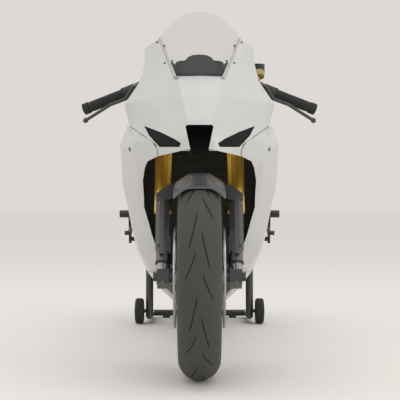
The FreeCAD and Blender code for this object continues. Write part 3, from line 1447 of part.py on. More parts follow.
def make_belly():
    rows = []
    high = S.fairing_low - S.seam_gap
    deep = high - S.belly_low
    for along, wide, drop in ((0, 0.96, 0.75), (0.25, 1, 0.97), (0.5, 1, 1), (0.75, 0.96, 0.97), (1, 0.82, 0.8)):
        y = S.belly_front + (S.belly_rear - S.belly_front) * along
        right = [V(S.belly_half * wide * across, high - deep * drop * (1 - up), 0) for across, up in BELLY_SHARES]
        left = [V(-point.x, point.y, 0) for point in reversed(right[:-1])]
        line = right + left
        inner = shifted(line, -S.panel_wall)
        ring = [V(point.x, y, point.y) for point in line + inner[::-1] + line[:1]]
        rows.append(Part.makePolygon(ring))
    below = Part.makeBox(2 * S.fairing_half, 2 * S.belly_rear, high, V(-S.fairing_half, 0, 0))
    keep(solid("belly_pan_shape", Part.makeLoft(rows, True, True).common(below)), "belly_pan", road_frame())


# The screen's rounded top in front view, from its shoulder, in shares of its half width and rise.
SCREEN_SHARES = ((1, 0), (0.9, 0.2), (0.78, 0.38), (0.62, 0.62), (0.42, 0.84), (0.2, 0.97), (0, 1))
# The rows above the shoulder: height, then the places of the middle and the edges, shares of the fairing's length.
SCREEN_ROW_SHARES = ((0.34, 0.207, 0.293), (0.68, 0.28, 0.368), (1, 0.364, 0.45))


def make_screen():
    """A clear bubble that leans back from the nose and laps over the edge of its opening."""
    shell = fairing_shell()
    rows = []
    low = S.screen_low_z - S.screen_dip - S.screen_lap
    rise = S.screen_shoulder_z - low
    for up, bulge in ((0, 0.65), (0.35, 0.9), (0.7, 1), (1, 1)):
        z = low + rise * up
        half = S.screen_low_half + (S.screen_shoulder_half - S.screen_low_half) * up + S.screen_lap
        back = outer_face(shell, half, z) - S.screen_wall - S.running_gap
        rows.append(screen_row(z, half, back - S.screen_bulge * bulge, back))
    crown = S.screen_top_z - S.screen_shoulder_z
    for up, front, back in SCREEN_ROW_SHARES:
        rows.append(screen_row(S.screen_shoulder_z + crown * up, S.screen_shoulder_half + S.screen_lap,
                               S.fairing_length * front, S.fairing_length * back))
    top = [((S.screen_shoulder_half + S.screen_lap) * across, S.screen_shoulder_z + crown * up)
           for across, up in SCREEN_SHARES]
    foot = [(0, low - S.overrun), (S.screen_shoulder_half + S.screen_lap, low - S.overrun)]
    view = prism(mirror_x(foot + top), -2 * S.fairing_length, 2 * S.fairing_length)
    bubble = solid("screen_bubble", Part.makeLoft(rows, True, True).common(view))
    frame = road_frame()
    keep(less("windscreen_shape", bubble, [unplaced("screen_nose_room", "nose_fairing", frame)]), "windscreen", frame)


def screen_row(z, half, front, back):
    right = [V(half * across, front + (back - front) * across ** 2, z) for across in (0, 0.3, 0.55, 0.8, 1)]
    left = [V(-point.x, point.y, point.z) for point in reversed(right[1:])]
    return shell_row(left + right, S.screen_wall)


def make_dash():
    """A raised hump between two flat shoulders, seen through the foot of the screen."""
    hump = S.dash_hump_half
    front_view = prism(mirror_x([
        (0, S.dash_low),
        (S.dash_half - S.overrun, S.dash_low),
        (S.dash_half, S.dash_low + 2 * S.overrun),
        (S.dash_half, S.dash_shoulder_z - S.overrun / 2),
        (S.dash_half - S.overrun, S.dash_shoulder_z),
        (hump, S.dash_shoulder_z + S.overrun / 4),
        (hump * 0.82, S.dash_high - S.overrun),
        (hump * 0.5, S.dash_high - S.overrun / 4),
        (0, S.dash_high),
    ]), S.dash_front, S.dash_rear)
    slant = side_prism([
        (S.dash_front, S.dash_low - S.overrun), (S.dash_rear, S.dash_low - S.overrun),
        (S.dash_rear, S.dash_high + S.overrun), (S.dash_rear - 2 * S.overrun, S.dash_high + S.overrun),
        (S.dash_front, S.dash_low + 2 * S.overrun)], 2 * S.dash_half)
    foot = S.frame_stay_z + S.frame_stay_radius + S.running_gap
    post = Part.makeCylinder(S.toe_radius, S.dash_low + S.overrun - foot,
                             V(0, (S.dash_front + S.dash_rear) / 2, foot))
    keep(solid("instrument_panel_shape", front_view.common(slant).fuse(post)), "instrument_panel", road_frame())


def report_faults():
    faults = [item.Name for item in DOC.Objects if {"Invalid", "Error"} & set(item.State)]
    for item in PARTS:
        shape = item.Shape
        if shape.isNull() or not shape.isValid() or not shape.Solids:
            faults.append(item.Label)
    if faults:
        raise RuntimeError("these pieces failed: " + ", ".join(sorted(set(faults))))


def write_parts():
    os.makedirs("parts", exist_ok=True)
    for item in PARTS:
        item.Shape.exportStep(os.path.join("parts", item.Label + ".step"))


def main():
    make_front_wheel()
    make_rear_wheel()
    make_fork()
    make_clamps()
    make_handlebars()
    make_controls()
    make_fender()
    make_calipers()
    make_frame()
    make_swingarm()
    make_rear_axle()
    make_engine()
    make_exhaust()
    make_chain()
    make_seat_and_tank()
    make_subframe()
    make_rearsets()
    make_stand()
    make_fairing()
    make_belly()
    make_screen()
    make_dash()
    DOC.recompute()
    report_faults()
    write_parts()


main()
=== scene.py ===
import json
import math

import bmesh
import bpy
from mathutils import Matrix, Vector
from mathutils.bvhtree import BVHTree


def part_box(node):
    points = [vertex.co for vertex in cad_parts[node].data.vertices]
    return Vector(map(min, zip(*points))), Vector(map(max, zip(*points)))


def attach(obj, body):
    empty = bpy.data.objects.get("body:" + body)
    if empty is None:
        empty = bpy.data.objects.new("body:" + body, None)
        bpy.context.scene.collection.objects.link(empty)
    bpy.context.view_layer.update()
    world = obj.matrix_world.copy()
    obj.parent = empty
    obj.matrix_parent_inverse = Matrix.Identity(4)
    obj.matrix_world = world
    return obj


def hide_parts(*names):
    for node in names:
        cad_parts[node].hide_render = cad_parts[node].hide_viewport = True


bl_info = {
    "name": "Sport bike on a paddock stand",
    "version": (1, 0, 0),
    "blender": (4, 5, 0),
    "location": "View3D > Sidebar > Sport Bike",
    "description": "Dresses the packed sport bike with its finishes and fine pieces",
    "category": "Object",
}

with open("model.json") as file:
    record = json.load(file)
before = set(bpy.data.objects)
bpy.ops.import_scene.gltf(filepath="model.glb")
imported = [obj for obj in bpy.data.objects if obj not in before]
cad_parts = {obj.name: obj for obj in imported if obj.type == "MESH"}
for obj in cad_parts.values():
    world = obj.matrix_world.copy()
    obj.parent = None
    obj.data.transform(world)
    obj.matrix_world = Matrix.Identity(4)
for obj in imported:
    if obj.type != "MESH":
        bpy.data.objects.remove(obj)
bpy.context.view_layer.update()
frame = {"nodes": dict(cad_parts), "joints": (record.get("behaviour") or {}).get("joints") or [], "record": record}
NODES = frame["nodes"]
JOINTS = {joint["name"]: joint for joint in frame["joints"]}
AXLE = Vector(JOINTS["front_spin"]["pos_m"])
REAR_AXLE = Vector(JOINTS["rear_spin"]["pos_m"])
STEER_AXIS = Vector(JOINTS["steer"]["axis"]).normalized()
# Lengths are metres unless said otherwise
PHOTO_CENTRE = (199.5, 205.0)  # the pixel that the lens looks straight at
PHOTO_PIXEL = 0.001  # what one pixel spans, as a share of its distance
FORK_HALF = 0.111  # from the bike's middle to a fork leg
WELD = 0.00002
SMOOTH_DEGREES = 28
PANEL_SMOOTH_DEGREES = 50
ROUND_SEGMENTS = 32
FINE_SEGMENTS = 40


class BikeColours(bpy.types.PropertyGroup):
    """Paint and trim colours of the bike."""

    panel_white: bpy.props.FloatVectorProperty(
        name="Panel white", description="Gloss paint of the bodywork", subtype="COLOR", size=3,
        default=(0.57, 0.57, 0.567))
    fork_gold: bpy.props.FloatVectorProperty(
        name="Fork gold", description="Anodised outer fork tubes", subtype="COLOR", size=3,
        default=(0.80, 0.48, 0.07))
    trim_black: bpy.props.FloatVectorProperty(
        name="Trim black", description="Moulded black trim", subtype="COLOR", size=3,
        default=(0.022, 0.022, 0.024))


class BikeSizes(bpy.types.PropertyGroup):
    """Sizes of the fine pieces and of the studio."""

    front_crown: bpy.props.FloatProperty(
        name="Front sidewall", description="Radius at which the front sidewall meets the tread",
        default=0.252, unit="LENGTH")
    rear_crown: bpy.props.FloatProperty(
        name="Rear sidewall", description="Radius at which the rear sidewall meets the tread",
        default=0.256, unit="LENGTH")
    bead_radius: bpy.props.FloatProperty(
        name="Bead radius", description="Inner edge of both tyres", default=0.216, unit="LENGTH")
    slit_width: bpy.props.FloatProperty(
        name="Tread slit", description="Width of a tread slit", default=0.0040, unit="LENGTH")
    slit_depth: bpy.props.FloatProperty(
        name="Tread depth", description="Depth of a tread slit", default=0.0050, unit="LENGTH")
    tube_pitch: bpy.props.FloatProperty(
        name="Radiator pitch", description="From one radiator tube to the next", default=0.0064,
        unit="LENGTH")
    chain_pitch: bpy.props.FloatProperty(
        name="Chain pitch", description="From one chain pin to the next", default=0.0159, unit="LENGTH")
    disc_hole: bpy.props.FloatProperty(
        name="Disc hole", description="Radius of a brake disc's drilling", default=0.0036, unit="LENGTH")
    seam_width: bpy.props.FloatProperty(
        name="Panel seam", description="Width of the gap between two panels", default=0.0016, unit="LENGTH")
    camera_distance: bpy.props.FloatProperty(
        name="Camera distance", description="From the lens to the front axle", default=2.94, unit="LENGTH")
    camera_height: bpy.props.FloatProperty(
        name="Camera height", description="Lens above the floor", default=0.512, unit="LENGTH")
    camera_lens: bpy.props.FloatProperty(
        name="Lens", description="Focal length in millimetres on a 36 mm frame", default=90.0)


def colours():
    return bpy.context.scene.bike_colours


def sizes():
    return bpy.context.scene.bike_sizes


def tree_of(name):
    material = bpy.data.materials.new(name)
    material.use_nodes = True
    nodes = material.node_tree.nodes
    return material, nodes, material.node_tree.links, nodes["Principled BSDF"]


def set_inputs(node, values):
    for name, value in values.items():
        node.inputs[name].default_value = value
    return node


COAT_ROUGHNESS = 0.08
CLOUD_DETAIL = 5.0
RAMP_ENDS = (0.3, 0.7)
SPECK_DETAIL = 3.0
GRAIN_DEPTH = 0.0006
LEAST_ROUGHNESS = 0.02


def finish(name, colour, rough, metal=0.0, coat=0.0, grain=0.0, grain_scale=900.0, shade=0.0,
           shade_scale=14.0, stretch=(1, 1, 1), rough_spread=0.06):
    """A surface with fine grain in its bump, slow variation in its colour and uneven gloss."""
    material, nodes, links, shader = tree_of(name)
    set_inputs(shader, {"Metallic": metal, "Coat Weight": coat, "Coat Roughness": COAT_ROUGHNESS})
    place = nodes.new("ShaderNodeTexCoord")
    mapping = set_inputs(nodes.new("ShaderNodeMapping"), {"Scale": stretch})
    links.new(place.outputs["Object"], mapping.inputs["Vector"])
    cloud = set_inputs(nodes.new("ShaderNodeTexNoise"), {"Scale": shade_scale, "Detail": CLOUD_DETAIL})
    links.new(mapping.outputs["Vector"], cloud.inputs["Vector"])
    ramp = nodes.new("ShaderNodeValToRGB")
    for element, position, factor in zip(ramp.color_ramp.elements, RAMP_ENDS, (1 - shade, 1 + shade)):
        element.position = position
        element.color = [min(1, part * factor) for part in colour] + [1]
    links.new(cloud.outputs["Fac"], ramp.inputs["Fac"])
    links.new(ramp.outputs["Color"], shader.inputs["Base Color"])
    least, most = max(LEAST_ROUGHNESS, rough - rough_spread), min(1.0, rough + rough_spread)
    spread = set_inputs(nodes.new("ShaderNodeMapRange"), {"To Min": least, "To Max": most})
    links.new(cloud.outputs["Fac"], spread.inputs["Value"])
    links.new(spread.outputs["Result"], shader.inputs["Roughness"])
    if grain:
        speck = set_inputs(nodes.new("ShaderNodeTexNoise"), {"Scale": grain_scale, "Detail": SPECK_DETAIL})
        links.new(mapping.outputs["Vector"], speck.inputs["Vector"])
        bump = set_inputs(nodes.new("ShaderNodeBump"), {"Strength": grain, "Distance": GRAIN_DEPTH})
        links.new(speck.outputs["Fac"], bump.inputs["Height"])
        links.new(bump.outputs["Normal"], shader.inputs["Normal"])
    return material


SHEET_ROUGHNESS = 0.04
SHEET_SPECULAR = 0.6


def clear_sheet(name, colour, cover):
    """Clear acrylic, slightly smoked, that covers a share of what is behind it."""
    material, _, _, shader = tree_of(name)
    set_inputs(shader, {"Base Color": (*colour, 1), "Roughness": SHEET_ROUGHNESS, "Alpha": cover,
                        "Specular IOR Level": SHEET_SPECULAR})
    return material


MATERIALS = {}
# Colour, roughness and what else sets each finish apart; None stands for a colour of the property group
FINISHES = {
    "white_panel": (None, 0.26, {"coat": 0.35, "shade": 0.004, "shade_scale": 2.0, "rough_spread": 0.02}),
    "gold_anodised": (None, 0.32, {"metal": 1.0, "grain": 0.25, "stretch": (1, 1, 0.05), "shade": 0.05}),
    "bright_tube": ((0.34, 0.34, 0.345), 0.22, {"metal": 1.0, "shade": 0.03}),
    "dark_steel": ((0.030, 0.030, 0.032), 0.38, {"coat": 0.2, "grain": 0.15, "shade": 0.08}),
    "caliper_black": ((0.024, 0.024, 0.026), 0.42, {"grain": 0.3, "shade": 0.08}),
    "disc_steel": ((0.55, 0.54, 0.53), 0.30, {"metal": 1.0, "grain": 0.4, "shade": 0.06}),
    "rim_black": ((0.020, 0.020, 0.021), 0.30, {"coat": 0.3, "grain": 0.1, "shade": 0.06}),
    "tyre_rubber": ((0.050, 0.049, 0.043), 0.72, {"grain": 0.5, "shade": 0.10, "rough_spread": 0.1}),
    "grip_rubber": ((0.018, 0.018, 0.018), 0.75, {"grain": 0.5, "shade": 0.1}),
    "dash_grey": ((0.013, 0.013, 0.0135), 0.7, {"grain": 0.3, "shade": 0.15, "shade_scale": 30}),
    "switch_plastic": (None, 0.5, {"grain": 0.35, "shade": 0.08}),
    "fender_grey": ((0.072, 0.072, 0.075), 0.34, {"coat": 0.15, "grain": 0.12, "shade": 0.06}),
    "reservoir_plastic": ((0.36, 0.28, 0.09), 0.3, {"coat": 0.3, "shade": 0.05}),
    "frame_alloy": ((0.42, 0.42, 0.41), 0.36, {"metal": 1.0, "grain": 0.3, "shade": 0.05}),
    "clamp_alloy": ((0.05, 0.05, 0.052), 0.4, {"metal": 0.8, "grain": 0.3, "shade": 0.05}),
    "engine_cast": ((0.10, 0.10, 0.105), 0.55, {"metal": 0.6, "grain": 0.7, "grain_scale": 500,
                                                "shade": 0.1}),
    "exhaust_steel": ((0.42, 0.36, 0.30), 0.28, {"metal": 1.0, "shade": 0.18, "shade_scale": 7}),
    "chain_steel": ((0.32, 0.28, 0.19), 0.35, {"metal": 1.0, "grain": 0.3, "shade": 0.15}),
    "seat_foam": ((0.016, 0.016, 0.017), 0.9, {"grain": 0.9, "grain_scale": 420, "shade": 0.12}),
    "shock_paint": ((0.05, 0.05, 0.055), 0.35, {"coat": 0.2, "shade": 0.06}),
    # trim_black also colours the panel seam strips and the screws' slot boxes, which are painted shade
    "trim_black": (None, 0.45, {"grain": 0.2, "shade": 0.05}),
    # liner_black also colours the black disc on the silencer's tail, which is painted shade for its open mouth
    "liner_black": ((0.004, 0.004, 0.0045), 0.9, {"grain": 0.3, "shade": 0.1}),
    "core_black": ((0.014, 0.0135, 0.012), 0.7, {"grain": 0.4, "shade": 0.1}),
    "tube_grey": ((0.11, 0.108, 0.092), 0.5, {"metal": 0.3, "shade": 0.1}),
    "screw_steel": ((0.20, 0.20, 0.20), 0.35, {"metal": 1.0, "shade": 0.05}),
    "sleeve_grey": ((0.16, 0.16, 0.165), 0.35, {"metal": 0.8, "shade": 0.06}),
    "lever_black": ((0.030, 0.030, 0.031), 0.24, {"coat": 0.5, "shade": 0.05}),
    "display_glass": ((0.006, 0.007, 0.008), 0.08, {"coat": 0.8, "shade": 0.02}),
    "floor_paper": ((0.825, 0.802, 0.772), 0.9, {"shade": 0.008, "shade_scale": 1.0}),
}
SHEETS = {"screen_edge": ((0.30, 0.31, 0.31), 0.55), "clear_screen": ((0.16, 0.165, 0.165), 0.08)}


def build_materials():
    black = colours().trim_black
    chosen = {"white_panel": colours().panel_white, "gold_anodised": colours().fork_gold,
              "switch_plastic": black, "trim_black": black}
    for name, (colour, rough, extra) in FINISHES.items():
        MATERIALS[name] = finish(name, tuple(colour or chosen[name]), rough, **extra)
    for name, (colour, cover) in SHEETS.items():
        MATERIALS[name] = clear_sheet(name, colour, cover)


# These nodes get a mesh of their own, and every other one a dressed copy
OWN_SHAPES = ("front_tyre", "rear_tyre", "drive_chain", "front_discs", "rear_disc", "seat_pad", "grips",
              "silencer", "stand_wheel_left", "stand_wheel_right")
SLOT_FINISH = {
    "front_fender": "fender_grey",
    "nose_liner": "liner_black",
    "instrument_panel": "dash_grey",
    "radiator": "core_black",
    "brake_lever": "lever_black",
    "clutch_lever": "lever_black",
    "lower_triple_clamp": "clamp_alloy",
    "top_triple_clamp": "clamp_alloy",
}


def placed(name, data):
    """A new object that stands in the scene."""
    item = bpy.data.objects.new(name, data)
    bpy.context.scene.collection.objects.link(item)
    return item


def bmesh_of(mesh):
    work = bmesh.new()
    work.from_mesh(mesh)
    return work


def write_back(work, mesh):
    work.to_mesh(mesh)
    work.free()


def shade_smooth(work, degrees):
    """Smooth faces, with crisp edges where two faces meet at more than an angle."""
    for face in work.faces:
        face.smooth = True
    for edge in work.edges:
        edge.smooth = edge.calc_face_angle(math.pi) < math.radians(degrees)


def copied_mesh(node):
    work = bmesh_of(NODES[node].data)
    bmesh.ops.remove_doubles(work, verts=work.verts, dist=WELD)
    return work


def smooth_copy(node, degrees):
    """The CAD solid's own shape as one smooth mesh with crisp edges, which stands for it."""
    mesh = NODES[node].data.copy()
    work = copied_mesh(node)
    shade_smooth(work, degrees)
    write_back(work, mesh)
    mesh.materials.clear()
    return placed(node + "_dressed", mesh)


ARCH_REACH = 1.5  # how much further round the wheel the arch comes forward
ARCH_INNER = 0.270  # the arch starts this far from the axle, and the fork guards lie nearer
ARCH_BLEND = 0.030
ARCH_DROP = 0.003
ARCH_CROWN = 0.036  # how much lower the arch's sides are than its middle
ARCH_HALF = 0.078


def reach_fender(mesh):
    """The arch's front edge follows the tyre's curve further forward, down to where the photograph has it."""
    for vert in mesh.vertices:
        ahead, up = AXLE.y - vert.co.y, vert.co.z - AXLE.z
        radius, angle = math.hypot(ahead, up), math.atan2(ahead, up)
        share = min(1, max(0, (radius - ARCH_INNER) / ARCH_BLEND))
        if angle > 0:
            angle *= 1 + (ARCH_REACH - 1) * share
        elif abs(vert.co.x) > ARCH_HALF:
            share = 0
        radius -= (ARCH_DROP + ARCH_CROWN * min(1, abs(vert.co.x) / ARCH_HALF) ** 2) * share
        vert.co.y, vert.co.z = AXLE.y - radius * math.sin(angle), AXLE.z + radius * math.cos(angle)


LEVER_DROP = 0.022
LEVER_ROOT = 0.200
LEVER_TIP = 0.377
SCREEN_DROP = 0.018
SCREEN_FOOT = 0.960
SCREEN_EDGE_ANGLE = math.radians(55)


def droop_lever(mesh):
    """The lever's outer end hangs lower than its root, clear of the grip."""
    for vert in mesh.vertices:
        share = max(0, (abs(vert.co.x) - LEVER_ROOT) / (LEVER_TIP - LEVER_ROOT))
        vert.co.z -= LEVER_DROP * share


def dip_screen(mesh):
    """The screen's crown a little lower, and a more solid look for the faces of its cut edge."""
    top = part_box("windscreen")[1][2]
    for vert in mesh.vertices:
        share = max(0, (vert.co.z - SCREEN_FOOT) / (top - SCREEN_FOOT))
        vert.co.z -= SCREEN_DROP * share ** 2
    mesh.materials.append(MATERIALS["screen_edge"])
    work = bmesh_of(mesh)
    rim = {vert for edge in work.edges if edge.calc_face_angle(0) > SCREEN_EDGE_ANGLE for vert in edge.verts}
    for face in work.faces:
        face.material_index = int(all(vert in rim for vert in face.verts))
    write_back(work, mesh)


# How far the panels swell at each height
FLARE_BY_HEIGHT = ((0.154, 0.0), (0.184, 0.020), (0.287, 0.030), (0.363, 0.026), (0.422, 0.018),
                   (0.506, 0.015), (0.590, 0.008), (0.640, 0.0))
FLARE_EDGE = (0.364, -0.500)  # height and place of a point on the arch's edge, from which the swell starts
FLARE_EDGE_SLOPE = -0.9
FLARE_BLEND = 0.12
CLAMP_INNER = 0.0885
CLAMP_SHARE = 0.72


def flare_panel(mesh):
    """The lower panels swell outwards behind the arch's edge, as wide as the photograph shows them."""
    edge_height, edge_place = FLARE_EDGE
    for vert in mesh.vertices:
        for (low, less), (high, more) in zip(FLARE_BY_HEIGHT, FLARE_BY_HEIGHT[1:]):
            if low <= vert.co.z < high:
                swell = less + (more - less) * (vert.co.z - low) / (high - low)
                behind = vert.co.y - edge_place - FLARE_EDGE_SLOPE * (vert.co.z - edge_height)
                share = min(1, max(0, behind / FLARE_BLEND)) * min(1, abs(vert.co.x) / FLARE_BLEND)
                vert.co.x += math.copysign(swell * share, vert.co.x)
                break


def narrow_clamp(mesh):
    """The axle clamps end just past the legs, so that the axle's nuts stand out beside them."""
    for vert in mesh.vertices:
        past = abs(vert.co.x) - CLAMP_INNER
        if past > 0:
            vert.co.x = math.copysign(CLAMP_INNER + past * CLAMP_SHARE, vert.co.x)


ROUND_NET = 0.007
ROUND_PASSES = 40
RELAX_FACTOR = 0.5


def round_body(mesh):
    """Tank and tail flow without flat facets: the surface is laid out again as an even net and relaxed."""
    holder = placed("round_body", mesh.copy())
    net = holder.modifiers.new("net", "REMESH")
    net.mode = "VOXEL"
    net.voxel_size = ROUND_NET
    relax = holder.modifiers.new("relax", "SMOOTH")
    relax.factor = RELAX_FACTOR
    relax.iterations = ROUND_PASSES
    bpy.context.view_layer.update()
    rounded = bpy.data.meshes.new_from_object(holder.evaluated_get(bpy.context.evaluated_depsgraph_get()))
    work = bmesh_of(rounded)
    for face in work.faces:
        face.smooth = True
        face.material_index = 0
    write_back(work, mesh)
    bpy.data.objects.remove(holder)
    bpy.data.meshes.remove(rounded)


RELAX_ROUNDS = 5
RELAX_PASSES = 24
PANEL_NET = 0.022
PANEL_GIVE = 0.0020
ARCH_NET = 0.012
ARCH_GIVE = 0.007
ARCH_FREE = 0.064


def relax(mesh, net, furthest, half=None):
    """Broad facets flow into one another on a finer net, and no vertex moves further than a given length.

    What stays is the sharp edges or, where half is given, all that lies further than it from the middle."""
    work = bmesh_of(mesh)
    for _ in range(RELAX_ROUNDS):
        longest = [edge for edge in work.edges if edge.calc_length() > net]
        bmesh.ops.subdivide_edges(work, edges=longest, cuts=1)
        bmesh.ops.triangulate(work, faces=[face for face in work.faces if len(face.verts) > 3])
    if half is None:
        limit = math.radians(PANEL_SMOOTH_DEGREES)
        held = {vert for edge in work.edges if edge.calc_face_angle(math.pi) >= limit for vert in edge.verts}
    else:
        held = {vert for vert in work.verts if abs(vert.co.x) > half}
    free = [vert for vert in work.verts if vert not in held]
    start = {vert: vert.co.copy() for vert in free}
    for _ in range(RELAX_PASSES):
        bmesh.ops.smooth_vert(work, verts=free, factor=RELAX_FACTOR, use_axis_x=True, use_axis_y=True,
                              use_axis_z=True)
    for vert in free:
        move = vert.co - start[vert]
        if move.length > furthest:
            vert.co = start[vert] + move * (furthest / move.length)
    shade_smooth(work, PANEL_SMOOTH_DEGREES)
    write_back(work, mesh)


def relax_panel(mesh):
    relax(mesh, PANEL_NET, PANEL_GIVE)


def flare_side(mesh):
    relax_panel(mesh)
    flare_panel(mesh)


def arch_fender(mesh):
    reach_fender(mesh)
    relax(mesh, ARCH_NET, ARCH_GIVE, ARCH_FREE)


RESHAPED = {
    "nose_fairing": relax_panel,
    "fuel_tank": round_body,
    "tail_cowl": round_body,
    "side_fairing_left": flare_side,
    "side_fairing_right": flare_side,
    "belly_pan": flare_panel,
    "axle_clamps": narrow_clamp,
    "front_fender": arch_fender,
    "brake_lever": droop_lever,
    "clutch_lever": droop_lever,
    "windscreen": dip_screen,
}


def dress_node(node):
    record = frame["record"]
    slot = next(part["material_slot"] for part in record["subparts"] if part["node"] == node)
    body = next(name for name, members in record["behaviour"]["bodies"].items() if node in members)
    piece = smooth_copy(node, PANEL_SMOOTH_DEGREES if slot == "white_panel" else SMOOTH_DEGREES)
    piece.data.materials.append(MATERIALS[SLOT_FINISH.get(node, slot)])
    if node in RESHAPED:
        RESHAPED[node](piece.data)
    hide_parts(node)
    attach(piece, body)
    return piece


class BIKE_OT_dress(bpy.types.Operator):
    """Dress every solid with its finish"""

    bl_idname = "bike.dress"
    bl_label = "Dress the solids"

    def execute(self, context):
        for node in sorted(set(NODES) - set(OWN_SHAPES)):
            dress_node(node)
        return {"FINISHED"}


def make_piece(name, work, material, body, nodes=(), degrees=SMOOTH_DEGREES):
    """A finished mesh that rides on a body, in place of its nodes if it has any."""
    shade_smooth(work, degrees)
    mesh = bpy.data.meshes.new(name)
    write_back(work, mesh)
    mesh.materials.append(MATERIALS[material])
    piece = placed(name, mesh)
    if nodes:
        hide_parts(*nodes)
    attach(piece, body)
    return piece


def carved(work, cutter):
    """The first shape with the second cut out of it, as a new bmesh."""
    meshes = [bpy.data.meshes.new(name) for name in ("carve_body", "carve_tool")]
    for mesh, shape in zip(meshes, (work, cutter)):
        bmesh.ops.recalc_face_normals(shape, faces=shape.faces)
        write_back(shape, mesh)
    body, tool = (placed(mesh.name, mesh) for mesh in meshes)
    cut = body.modifiers.new("carve", "BOOLEAN")
    cut.operation = "DIFFERENCE"
    cut.solver = "EXACT"
    cut.object = tool
    final = body.evaluated_get(bpy.context.evaluated_depsgraph_get())
    result = bmesh_of(final.to_mesh())
    final.to_mesh_clear()
    for item, mesh in zip((body, tool), meshes):
        bpy.data.objects.remove(item)
        bpy.data.meshes.remove(mesh)
    return result


def turn_between(start, end):
    """The turn that lays local Z along the way from start to end, with its place at start."""
    way = Vector(end) - Vector(start)
    return Matrix.Translation(start) @ way.to_track_quat("Z", "Y").to_matrix().to_4x4()


def add_rod(work, start, end, radius, top_radius=None, segments=20):
    length = (Vector(end) - Vector(start)).length
    place = turn_between(start, end) @ Matrix.Translation((0, 0, length / 2))
    bmesh.ops.create_cone(work, cap_ends=True, cap_tris=False, segments=segments, radius1=radius,
                          radius2=radius if top_radius is None else top_radius, depth=length, matrix=place)


def add_box(work, centre, size, turn=None):
    place = Matrix.Translation(centre) @ (turn or Matrix.Identity(4)) @ Matrix.Diagonal((*size, 1))
    return bmesh.ops.create_cube(work, size=1, matrix=place)["verts"]


def sharp_edges(work, degrees):
    return [edge for edge in work.edges if edge.calc_face_angle(0) > math.radians(degrees)]


def round_edges(work, edges, offset, steps, clamp=False):
    bmesh.ops.bevel(work, geom=edges, offset=offset, segments=steps, affect="EDGES", profile=0.5, material=-1,
                    clamp_overlap=clamp)


def middle(node):
    low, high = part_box(node)
    return (Vector(low) + Vector(high)) / 2


def half_and_radius(node):
    """Half a node's width, and half its height, a wheel's radius."""
    low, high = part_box(node)
    return (high[0] - low[0]) / 2, (high[2] - low[2]) / 2


def surface_of(node):
    work = bmesh_of(NODES[node].data)
    tree = BVHTree.FromBMesh(work)
    work.free()
    return tree


def photo_ray(u, v):
    """From the lens through a pixel of the photograph."""
    across, up = PHOTO_CENTRE
    lens = Vector((0, AXLE.y - sizes().camera_distance, sizes().camera_height))
    return lens, Vector(((u - across) * PHOTO_PIXEL, 1, (up - v) * PHOTO_PIXEL)).normalized()


def seen_at(tree, u, v):
    """The point of a surface that the photograph shows at a pixel, and the way it faces."""
    lens, way = photo_ray(u, v)
    point, normal, _, _ = tree.ray_cast(lens, way)
    if point is None:
        return None, None
    if normal.dot(way) > 0:
        normal = -normal
    return point, normal


def mirrored_pixels(pixels):
    return [(2 * PHOTO_CENTRE[0] - u, v) for u, v in pixels]


# Of each slit, the share of the tread's half and the share of the pitch where it starts and where it ends
SLIT_FORMS = (((0.15, 0.0), (0.62, 0.62)), ((0.10, 0.0), (0.46, 0.90)))
SLITS_ROUND = 16
SLIT_STEPS = 7
SLIT_STAGGER = 0.25
SLIT_SWEEP = 1.2
SLIT_TAPER = 0.6
SLIT_TAPER_POWER = 3
BLADE_OVER = 2
TYRE_STEPS = 144
CROWN_STEPS = 16
BEAD_RISE = 0.008
FLANK_BULGE = 0.72
FRONT_BEAD = 0.044
REAR_BEAD = 0.076


def crown_height(across, radius, half, sidewall):
    """The radius of the round tread at a distance from the tyre's middle."""
    rise = radius - sidewall
    curve = (rise ** 2 + half ** 2) / (2 * rise)
    return radius - curve + math.sqrt(curve ** 2 - across ** 2)


def tyre_shape(axle, radius, half, spread, sidewall, bead):
    """A round tread between two sidewalls, spun round the axle as one closed ring."""
    profile = [(spread, bead), (spread, bead + BEAD_RISE),
               (spread + (half - spread) * FLANK_BULGE, (bead + sidewall) / 2)]
    crown = [half * math.sin(math.pi / 2 * (1 - 2 * step / CROWN_STEPS)) for step in range(CROWN_STEPS + 1)]
    profile += [(x, crown_height(x, radius, half, sidewall)) for x in crown]
    profile += [(-x, z) for x, z in reversed(profile[:3])]
    work = bmesh.new()
    ring = [work.verts.new(axle + Vector((x, 0, z))) for x, z in profile]
    edges = [work.edges.new(pair) for pair in zip(ring, ring[1:] + ring[:1])]
    bmesh.ops.spin(work, geom=ring + edges, cent=axle, axis=(1, 0, 0), dvec=(0, 0, 0), angle=2 * math.pi,
                   steps=TYRE_STEPS, use_merge=True, use_duplicate=False)
    bmesh.ops.recalc_face_normals(work, faces=work.faces)
    return work


def slit_blades(axle, radius, half, sidewall):
    """Thin curved blades that stand in the tread, a long and a short one in turn, on both sides."""
    width, depth = sizes().slit_width, sizes().slit_depth
    pitch = 2 * math.pi / SLITS_ROUND
    work = bmesh.new()
    for side in (1, -1):
        for number in range(SLITS_ROUND):
            (inner, start), (outer, end) = SLIT_FORMS[(number + (side < 0)) % 2]
            blade = bmesh.new()
            bmesh.ops.create_cube(blade, size=1)
            along = [edge for edge in blade.edges if edge.verts[0].co.x * edge.verts[1].co.x < 0]
            bmesh.ops.subdivide_edges(blade, edges=along, cuts=SLIT_STEPS, use_grid_fill=True)
            for vert in blade.verts:
                share = vert.co.x + 1 / 2
                angle = pitch * (number + side * SLIT_STAGGER - start - (end - start) * share)
                taper = 1 - SLIT_TAPER * abs(2 * share - 1) ** SLIT_TAPER_POWER
                across = half * (inner + (outer - inner) * share ** SLIT_SWEEP) + vert.co.y * width * taper
                reach = crown_height(across, radius, half, sidewall) + vert.co.z * BLADE_OVER * depth
                vert.co = axle + Vector((side * across, -reach * math.cos(angle), reach * math.sin(angle)))
            mesh = bpy.data.meshes.new("blade")
            blade.to_mesh(mesh)
            work.from_mesh(mesh)
            bpy.data.meshes.remove(mesh)
            blade.free()
    return work


